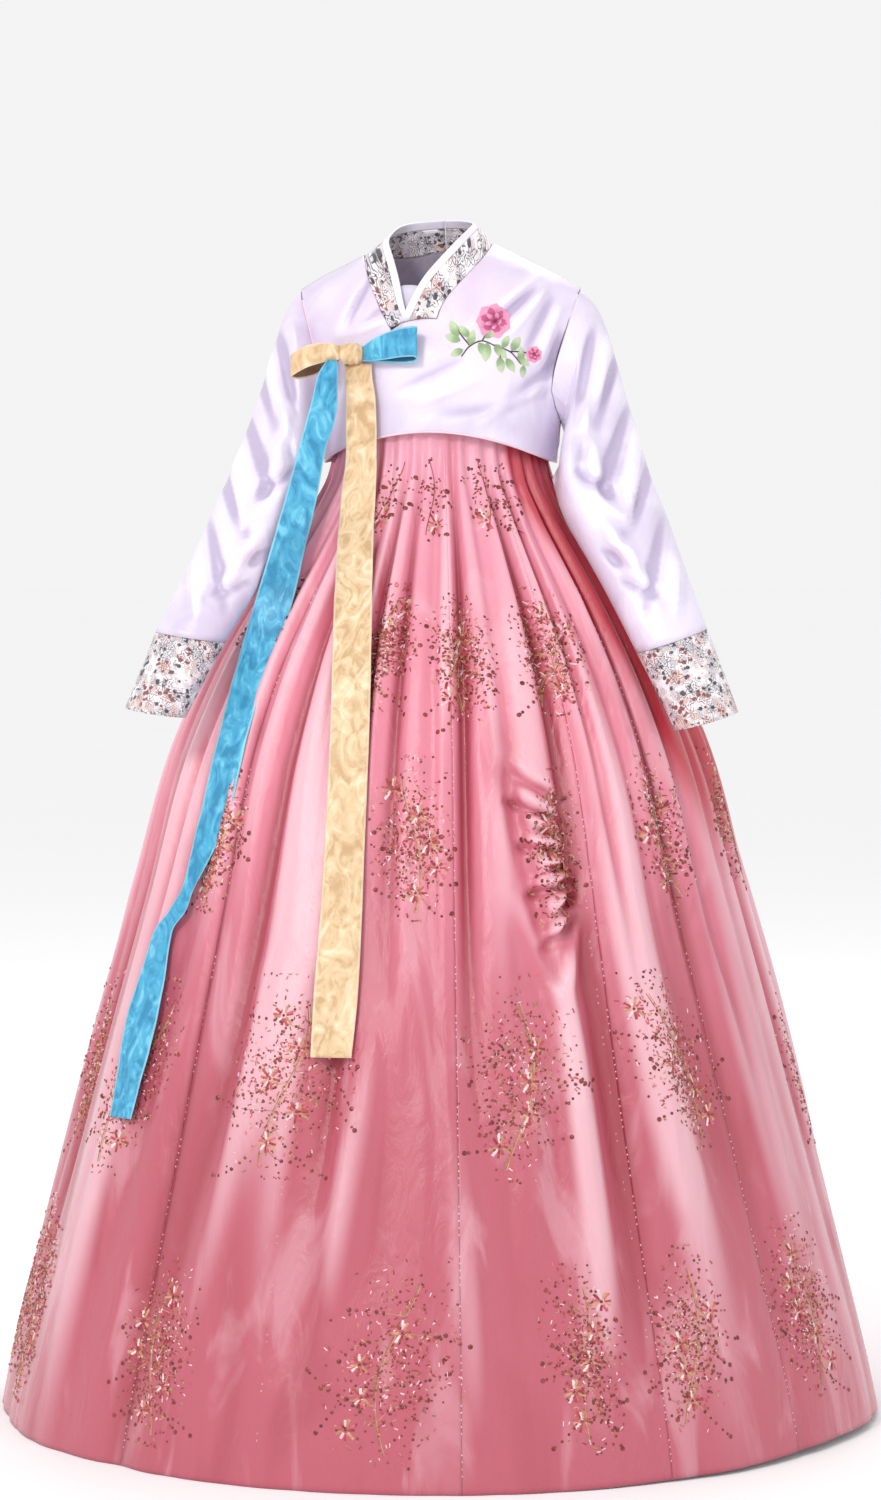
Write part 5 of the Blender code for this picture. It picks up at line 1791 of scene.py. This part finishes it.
@dataclass
class Bow:
    """The two-colour bow: knot, two loops and two tails."""

    blue: Material
    gold: Material
    blue_loop_satin: Material
    gold_loop_satin: Material
    blue_loop_wide: float = 0.034
    gold_loop_wide: float = 0.026
    gold_tail_wide: float = 0.044
    blue_tail_wide: float = 0.04
    knot_centre: Point = (-0.1034, -0.089, -0.1165)
    knot_half: Point = (0.0146, 0.0114, 0.013)
    knot_rows: int = 48
    knot_columns: int = 56
    boxiness: float = 0.7
    pleat: Wave = Wave(0.97, 0.055, 4.0 * math.pi, 0.6 + math.pi / 2.0)
    blue_loop: Table = (
        # x, y, height, half_width
        (-0.0898, -0.096, 1.2435, 0.0085), (-0.078, -0.109, 1.2475, 0.0125), (-0.062, -0.119, 1.252, 0.0155),
        (-0.044, -0.124, 1.256, 0.017), (-0.031, -0.1255, 1.257, 0.0175), (-0.0262, -0.1205, 1.255, 0.019),
        (-0.031, -0.115, 1.253, 0.0205), (-0.044, -0.1115, 1.252, 0.0205), (-0.062, -0.106, 1.25, 0.0175),
        (-0.078, -0.0965, 1.2465, 0.013), (-0.0891, -0.088, 1.243, 0.0085))
    gold_loop: Table = (
        # x, y, height, half_width
        (-0.1172, -0.093, 1.245, 0.0085), (-0.132, -0.101, 1.2448, 0.011), (-0.15, -0.102, 1.2415, 0.0125),
        (-0.165, -0.0985, 1.2345, 0.0128), (-0.172, -0.0925, 1.2295, 0.013), (-0.165, -0.086, 1.229, 0.0145),
        (-0.15, -0.08, 1.2325, 0.0155), (-0.133, -0.077, 1.2385, 0.0125), (-0.1182, -0.078, 1.243, 0.0085))
    gold_tail: Table = (
        # height, right_x, right_y, left_x, left_y
        (1.2313, -0.1107, -0.08, -0.0792, -0.096), (1.2155, -0.1101, -0.083, -0.078, -0.099),
        (1.1901, -0.1089, -0.085, -0.0745, -0.1), (1.152, -0.109, -0.085, -0.0734, -0.1),
        (1.1208, -0.1096, -0.086, -0.0734, -0.101), (1.0862, -0.1136, -0.092, -0.0745, -0.111),
        (1.0519, -0.1161, -0.11, -0.0759, -0.131), (1.0179, -0.1185, -0.136, -0.0767, -0.157),
        (0.9899, -0.1197, -0.158, -0.077, -0.18), (0.962, -0.1209, -0.18, -0.0773, -0.2),
        (0.9067, -0.1218, -0.22, -0.078, -0.233), (0.8516, -0.1228, -0.2495, -0.0788, -0.2575),
        (0.7638, -0.126, -0.286, -0.0817, -0.288), (0.687, -0.1295, -0.307, -0.0848, -0.308),
        (0.5996, -0.1352, -0.328, -0.0879, -0.33), (0.5237, -0.141, -0.347, -0.092, -0.351),
        (0.4612, -0.1439, -0.363, -0.0984, -0.368))
    blue_tail: Table = (
        # height, right_x, right_y, left_x, left_y
        (1.236, -0.131, -0.1045, -0.1207, -0.1), (1.221, -0.1407, -0.1065, -0.1189, -0.103),
        (1.1888, -0.1489, -0.104, -0.119, -0.101), (1.1635, -0.156, -0.101, -0.1226, -0.099),
        (1.137, -0.1631, -0.099, -0.1319, -0.098), (1.0747, -0.1803, -0.107, -0.1434, -0.103),
        (1.0173, -0.1965, -0.126, -0.1571, -0.114), (0.9599, -0.2133, -0.128, -0.1693, -0.132),
        (0.9031, -0.2292, -0.136, -0.188, -0.16), (0.8469, -0.2434, -0.156, -0.2077, -0.186),
        (0.7853, -0.2586, -0.178, -0.2241, -0.207), (0.7173, -0.2738, -0.187, -0.2398, -0.216),
        (0.6661, -0.2855, -0.195, -0.2629, -0.213), (0.6327, -0.2946, -0.198, -0.2804, -0.207),
        (0.6087, -0.3084, -0.198, -0.2896, -0.208), (0.5845, -0.3267, -0.182, -0.3049, -0.202),
        (0.5338, -0.3427, -0.187, -0.3135, -0.214), (0.4874, -0.3581, -0.191, -0.3215, -0.223),
        (0.4267, -0.3685, -0.201, -0.3367, -0.232), (0.3729, -0.377, -0.214, -0.3513, -0.238))

    def loop(self, tone: str, material: Material, rows: Rows, wide: float) -> None:
        """Make one loop.

        Args:
            tone: blue or gold.
            material: its finish.
            rows: place and half width along the loop.
            wide: its flat width.
        """
        high, low = (np.array([(x, y, height + way * half - HOLD_HEIGHT) for x, y, height, half in rows])
                     for way in (1.0, -1.0))
        Ribbon(f"bow_loop_{tone}", f"ribbon_loop_{tone}", f"ribbon_{tone}", material, low, high, wide,
               Lay.FOLDED, ripple=0.0006, crown=0.0004, rows=90).build()

    def tail(self, tone: str, material: Material, rows: Rows, wide: float) -> None:
        """Make one tail.

        Args:
            tone: blue or gold.
            material: its finish.
            rows: height and both edges along the tail.
            wide: its flat width.
        """
        right, left = (np.array([(row[at], row[at + 1], row[0] - HOLD_HEIGHT) for row in rows])
                       for at in (1, 3))
        Ribbon(f"bow_tail_{tone}", f"ribbon_tail_{tone}", f"ribbon_{tone}", material, left, right, wide,
               Lay.HUNG).build()

    def knot(self) -> None:
        """Make the knot, ribbon wrapped round the bow with soft folds along the wrap."""
        rows, columns = self.knot_rows, self.knot_columns
        polar = np.linspace(0.0, math.pi, rows)[:, None]
        around = (np.arange(columns) * 2.0 * math.pi / columns)[None, :]
        raw = np.stack(np.broadcast_arrays(np.cos(polar), np.sin(polar) * np.cos(around),
                                           np.sin(polar) * np.sin(around)), axis=-1)
        boxy = np.sign(raw) * np.abs(raw) ** self.boxiness
        boxy[..., 1:] *= self.pleat.at(boxy[..., 0:1])
        points = boxy * np.array(self.knot_half) + np.array(self.knot_centre)
        faces = grid_faces(rows, columns, wrap=True)
        layout = np.stack(np.broadcast_arrays(0.1 + 0.8 * polar / math.pi, around * 0.012), axis=-1)
        made = make_object("bow_knot", points.reshape(-1, 3), faces[:, ::-1], self.gold,
                           layout.reshape(-1, 2))
        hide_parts("ribbon_knot")
        LOG.info("bow_knot")

    def build(self) -> None:
        """Make the whole bow."""
        self.loop("blue", self.blue_loop_satin, self.blue_loop, self.blue_loop_wide)
        self.loop("gold", self.gold_loop_satin, self.gold_loop, self.gold_loop_wide)
        self.tail("gold", self.gold, self.gold_tail, self.gold_tail_wide)
        self.tail("blue", self.blue, self.blue_tail, self.blue_tail_wide)
        self.knot()


@dataclass
class ChestFlower:
    """Embroidered bloom, bud, leaves and stem on the left front."""

    ground: Ground
    petal: Batch
    pale_petal: Batch
    leaf: Batch
    stem: Batch
    bloom: Pair = (0.0615, 1.281)
    bloom_size: float = 0.021
    bud: Pair = (0.108, 1.243)
    bud_size: float = 0.01
    bloom_turn: float = 80.0
    bud_turn: float = 20.0
    stem_thread: Pair = (0.0023, 0.001)
    leaf_width: float = 0.5
    leaf_rise: float = 0.0009
    leaf_blunt: float = 0.9
    petal_blunt: float = 1.6
    ring_turn: float = 26.0
    rings: tuple[tuple[bool, int, float, float, float], ...] = (
        # pale, petals, reach, width, rise
        (True, 7, 1.0, 0.8, 0.0008), (False, 6, 0.78, 0.62, 0.0013), (True, 5, 0.55, 0.46, 0.0018),
        (False, 4, 0.34, 0.34, 0.0023))
    rows: int = 7
    columns: int = 5
    hair: float = 0.0003
    edge_half: float = 0.0002
    stems: tuple[tuple[Pair, ...], ...] = (
        ((0.024, 1.24), (0.034, 1.252), (0.048, 1.258), (0.064, 1.252), (0.08, 1.246), (0.093, 1.232)),
        ((0.048, 1.258), (0.054, 1.268), (0.06, 1.275)), ((0.08, 1.246), (0.092, 1.246), (0.104, 1.243)),
        ((0.034, 1.252), (0.026, 1.262), (0.02, 1.27)), ((0.064, 1.252), (0.069, 1.24), (0.066, 1.23)))
    leaves: Table = (
        # x, height, angle_degrees, length
        (0.02, 1.262, 112.0, 0.021), (0.023, 1.258, 160.0, 0.019), (0.033, 1.252, 74.0, 0.019),
        (0.026, 1.248, 205.0, 0.016), (0.044, 1.256, -58.0, 0.021), (0.054, 1.256, -96.0, 0.022),
        (0.062, 1.254, -48.0, 0.021), (0.072, 1.25, 66.0, 0.016), (0.068, 1.24, -82.0, 0.019),
        (0.082, 1.247, 58.0, 0.019), (0.088, 1.24, -34.0, 0.018), (0.094, 1.236, 96.0, 0.016),
        (0.033, 1.262, 128.0, 0.017), (0.05, 1.262, 30.0, 0.017), (0.076, 1.238, -58.0, 0.018),
        (0.096, 1.23, -96.0, 0.014))

    def place(self, x: float, height: float) -> Met | None:
        """Place on the front below a point seen from the front."""
        return self.ground.meet(np.array((x, -0.4, height - HOLD_HEIGHT)), np.array((0.0, 1.0, 0.0)))

    def blade(self, batch: Batch, root: Pair, angle: float, length: float, width: float,
              rise: float, blunt: float) -> None:
        """Stitch one petal or leaf.

        Args:
            batch: what it is stitched with.
            root: where it starts.
            angle: its direction in degrees.
            length: its length.
            width: its greatest width.
            rise: its height over the cloth.
            blunt: how near its widest part is to the tip.
        """
        run = np.array((math.cos(math.radians(angle)), math.sin(math.radians(angle))))
        side = np.array((-run[1], run[0]))
        rows, layout = [], []
        for s in np.linspace(0.0, 1.0, self.rows):
            half = width / 2.0 * math.sin(math.pi * s ** blunt) ** 0.7 + self.edge_half
            for t in np.linspace(-1.0, 1.0, self.columns):
                met = self.place(*(np.array(root) + run * length * s + side * half * t))
                if met is None:
                    return
                lift = self.hair + rise * (1.0 - t * t) * math.sin(math.pi * min(1.0, 0.12 + 0.8 * s))
                rows.append(met[0] + met[1] * lift)
                layout.append((t, s))
        batch.add(np.array(rows), grid_faces(self.rows, self.columns)[:, ::-1], np.array(layout))

    def head(self, middle: Pair, size: float, turn: float) -> None:
        """Stitch one layered flower head.

        Args:
            middle: its middle.
            size: radius of its outer petals.
            turn: angle of its first petal in degrees.
        """
        for number, (pale, petals, reach, width, rise) in enumerate(self.rings):
            batch = self.pale_petal if pale else self.petal
            for petal in range(petals):
                angle = turn + self.ring_turn * number + petal * 360.0 / petals
                self.blade(batch, middle, angle, size * reach, size * width, rise, self.petal_blunt)

    def build(self) -> None:
        """Stitch the whole motif."""
        for line in self.stems:
            points = np.array(line)
            steps = np.arange(len(points), dtype=float)
            dense = through(np.column_stack([steps, points]), np.linspace(0.0, steps[-1], 8 * len(points)))
            places, normals = rows_of([self.place(x, height) for x, height in dense])
            if len(places) > 2:
                self.stem.strand(places, normals, *self.stem_thread)
        for x, height, angle, length in self.leaves:
            self.blade(self.leaf, (x, height), angle, length, length * self.leaf_width, self.leaf_rise,
                       self.leaf_blunt)
        self.head(self.bloom, self.bloom_size, self.bloom_turn)
        self.head(self.bud, self.bud_size, self.bud_turn)
        for batch in (self.petal, self.pale_petal, self.leaf, self.stem):
            batch.build()


@dataclass
class Seams:
    """Rolled hems and seam lines that finish the edges of the cloth."""

    hem: Batch
    dots: Batch
    skirt: Skirt
    ground: Ground
    seam_ends: Pair = (0.02, 0.98)
    dot_step: float = 0.0075
    dot: Pair = (0.0011, 0.001)
    wander: Wave = Wave(0.0, 0.02, 60.0, 0.0)
    hem_pieces: tuple[str, ...] = (
        "jacket_front_left", "jacket_front_right", "jacket_back_left", "jacket_back_right")
    hem_steps: int = 60
    hem_lift: float = 0.0008
    cord_radius: float = 0.0014
    cord_sides: int = 8

    def dotted_seam(self, column: float) -> None:
        """Stitch light dots down one skirt seam.

        Args:
            column: column of the seam.
        """
        for height in np.arange(*self.seam_ends, self.dot_step):
            point = self.skirt.surface(np.array([column + self.wander.at(height)]), np.array([height]))[0]
            out = unit(point * (1.0, 1.0, 0.0))
            met = self.ground.meet(point + out * 0.1, -out)
            if met is not None:
                self.dots.bead(met, *self.dot)

    def jacket_hem(self, shell: Piece) -> None:
        """Lay a rolled edge along the bottom of a jacket piece.

        Args:
            shell: the piece.
        """
        points = points_of(shell)
        points = points[np.argsort(points[:, 0])]
        bins = np.linspace(points[0, 0], points[-1, 0], self.hem_steps)
        edge = []
        for low, high in zip(bins[:-1], bins[1:]):
            near = points[(points[:, 0] >= low) & (points[:, 0] <= high)]
            if len(near):
                edge.append(near[np.argmin(near[:, 2])])
        line = np.array(edge)
        for _ in range(2):
            line[1:-1] = (line[:-2] + 2.0 * line[1:-1] + line[2:]) / 4.0
        self.cord(line + np.array((0.0, 0.0, self.hem_lift)))

    def cord(self, line: np.ndarray) -> None:
        """Add a thin cord along a line.

        Args:
            line: its points.
        """
        run = unit(np.gradient(line, axis=0))
        side = unit(np.cross(run, (0.0, 0.0, 1.0)))
        turns = (np.arange(self.cord_sides) * 2.0 * math.pi / self.cord_sides)[None, :, None]
        ring = np.cos(turns) * side[:, None] + np.sin(turns) * np.cross(side, run)[:, None]
        rings = line[:, None] + self.cord_radius * ring
        self.hem.add(rings.reshape(-1, 3), grid_faces(len(line), self.cord_sides, wrap=True))

    def build(self, shells: dict[str, Piece]) -> None:
        """Finish the skirt's seams and the jacket's hem.

        Args:
            shells: the jacket's pieces.
        """
        for column in self.skirt.seams:
            self.dotted_seam(float(column))
        for node in self.hem_pieces:
            self.jacket_hem(shells[node])
        self.hem.build()
        self.dots.build()


@dataclass(frozen=True)
class Lamp:
    """One soft lamp: where it hangs, where it points, its size, its power in watts and its colour."""

    name: str
    place: Point
    target: Point
    size: float
    power: float
    tint: Colour

    def hang(self) -> None:
        """Hang the lamp."""
        light = bpy.data.lights.new(self.name, "AREA")
        light.size = self.size
        light.energy = self.power
        light.color = self.tint
        lamp = enter(self.name, light)
        lamp.location = self.place
        lamp.rotation_euler = (Vector(self.target) - Vector(self.place)).to_track_quat("-Z", "Y").to_euler()


@dataclass
class Studio:
    """Pale floor, soft lights and the camera."""

    floor_height: float = -1.3605
    floor_reach: float = 30.0
    floor_tones: tuple[Colour, Colour] = ((0.92, 0.92, 0.93), (0.94, 0.94, 0.95))
    sky_strength: float = 0.9
    lens: float = 105.6
    sensor: float = 36.0
    farthest: float = 60.0
    eye: Point = (0.0, -5.2, -0.225)
    pitch_down: float = 3.93
    lamps: tuple[Lamp, ...] = (
        Lamp("key_lamp", (-1.8, -3.6, 1.9), (0.0, 0.0, -0.3), 0.8, 70.0, (1.0, 0.985, 0.97)),
        Lamp("fill_lamp", (2.6, -3.2, 0.6), (0.0, 0.0, -0.6), 1.6, 10.0, (0.97, 0.98, 1.0)),
        Lamp("back_lamp", (0.5, 2.6, 2.2), (0.0, 0.6, -0.6), 2.4, 30.0, (1.0, 1.0, 1.0)))

    def floor(self) -> None:
        """Make the plain pale floor."""
        mesh = bpy.data.meshes.new("studio_floor")
        reach = self.floor_reach
        corners = ((-reach, -reach), (reach, -reach), (reach, reach), (-reach, reach))
        mesh.from_pydata([(x, y, self.floor_height) for x, y in corners], [], [(0, 1, 2, 3)])
        bench = Bench("studio_floor")
        bench.paint(bench.mix(bench.noise(1.5, detail=2.0), *self.floor_tones))
        bench.set(Roughness=0.9, Specular_IOR_Level=0.1, Emission_Color=(1.0, 1.0, 1.0, 1.0),
                  Emission_Strength=0.06)
        mesh.materials.append(bench.material)
        enter("studio_floor", mesh)

    def camera(self) -> None:
        """Set up the camera."""
        lens = bpy.data.cameras.new("camera")
        lens.lens = self.lens
        lens.sensor_width = self.sensor
        lens.clip_end = self.farthest
        camera = enter("camera", lens)
        camera.location = self.eye
        camera.rotation_euler = (math.radians(90.0 - self.pitch_down), 0.0, 0.0)
        bpy.context.scene.camera = camera

    def build(self) -> None:
        """Set up floor, sky, lights and camera."""
        self.floor()
        bpy.context.scene.view_settings.view_transform = "Standard"
        world = bpy.data.worlds.new("studio_sky")
        world.use_nodes = True
        sky = world.node_tree.nodes["Background"]
        sky.inputs["Color"].default_value = (1.0, 1.0, 1.0, 1.0)
        sky.inputs["Strength"].default_value = self.sky_strength
        bpy.context.scene.world = world
        for lamp in self.lamps:
            lamp.hang()
        self.camera()
        LOG.info("studio with %d lamps", len(self.lamps))


def front_ground(piece: Piece) -> Ground:
    """Prepare a dressed piece as ground for embroidery."""
    squares = [list(face.vertices) for face in piece.data.polygons if len(face.vertices) == 4]
    return Ground(points_of(piece), np.array(squares))


def thread_batches() -> dict[str, Batch]:
    """Threads and beads of the skirt's sprays.

    Returns:
        The batches by their names.
    """
    threads = {
        "olive": Thread("olive_thread", colour(140, 104, 66), colour(172, 138, 92)),
        "tan": Thread("tan_thread", colour(186, 132, 96), colour(212, 164, 126)),
        "rose": Thread("rose_thread", colour(190, 74, 90), colour(218, 112, 124)),
        "deep": Thread("deep_thread", colour(144, 46, 50), colour(180, 80, 68)),
        "pale": Thread("pale_bugle", colour(240, 190, 198), colour(250, 222, 226), 0.22),
        "dark": Thread("dark_bead", colour(102, 34, 34), colour(150, 66, 54), 0.25)}
    return {name: Batch(f"spray_{name}", "skirt_satin", thread.make()) for name, thread in threads.items()}


def dress_bow() -> Bow:
    """The bow in its two satins, with the loops' shaded insides.

    Returns:
        The bow, ready to build.
    """
    blue = RibbonSatin("ribbon_blue_satin", colour(124, 208, 234), colour(70, 168, 208), colour(44, 136, 178),
                       colour(160, 226, 242))
    gold = RibbonSatin("ribbon_gold_satin", colour(246, 226, 192), colour(226, 194, 152),
                       colour(200, 164, 120), colour(244, 226, 200))
    return Bow(blue.make(), gold.make(),
               replace(blue, name="loop_blue_satin", back_layer=0.076, slot_shade=colour(14, 66, 104)).make(),
               replace(gold, name="loop_gold_satin", back_layer=0.064, slot_shade=colour(92, 44, 30)).make())


def chest_flower(ground: Ground) -> ChestFlower:
    """The chest flower in its silks.

    Args:
        ground: the cloth that it is stitched on.

    Returns:
        The flower, ready to build.
    """
    silks = {
        "chest_petals": SilkPetal("petal_silk", colour(150, 28, 84), colour(206, 84, 140)),
        "chest_pale_petals": SilkPetal("pale_petal_silk", colour(196, 72, 128), colour(236, 158, 192)),
        "chest_leaves": SilkPetal("leaf_silk", colour(140, 168, 118), colour(196, 216, 172)),
        "chest_stems": Thread("stem_silk", colour(66, 48, 48), colour(98, 76, 70))}
    return ChestFlower(ground, *(Batch(name, "jacket_satin", silk.make()) for name, silk in silks.items()))


def main() -> None:
    """Load the frame, dress every piece, and set up the studio."""
    logging.basicConfig(level=logging.INFO, format="%(message)s")
    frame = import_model()
    Studio().build()

    skirt = Skirt(SkirtSatin().make())
    ground = skirt.build()
    batches = thread_batches()
    Sprays(ground, skirt, batches).build()

    shells = Jacket(JacketSatin().make()).build(frame)
    edging = PlainCloth("edging_satin", colour(244, 240, 250), colour(228, 220, 238), 0.42, 0.2)
    cotton = PlainCloth("band_cotton_cloth", colour(230, 222, 240), colour(212, 202, 226))
    Trim(Brocade("over_brocade", 0.45).make(), Brocade("under_brocade", 0.22).make(), edging.make(),
         cotton.make()).build(frame)
    dress_bow().build()

    hem_cloth = PlainCloth("hem_roll", colour(240, 216, 226), colour(226, 196, 212), 0.45, 0.2)
    Seams(Batch("jacket_hem_roll", "jacket_satin", hem_cloth.make()),
          Batch("skirt_seam_dots", "skirt_satin", batches["pale"].material), skirt, ground).build(shells)
    chest_flower(front_ground(shells["jacket_front_left"])).build()


if __name__ == "__main__":
    main()
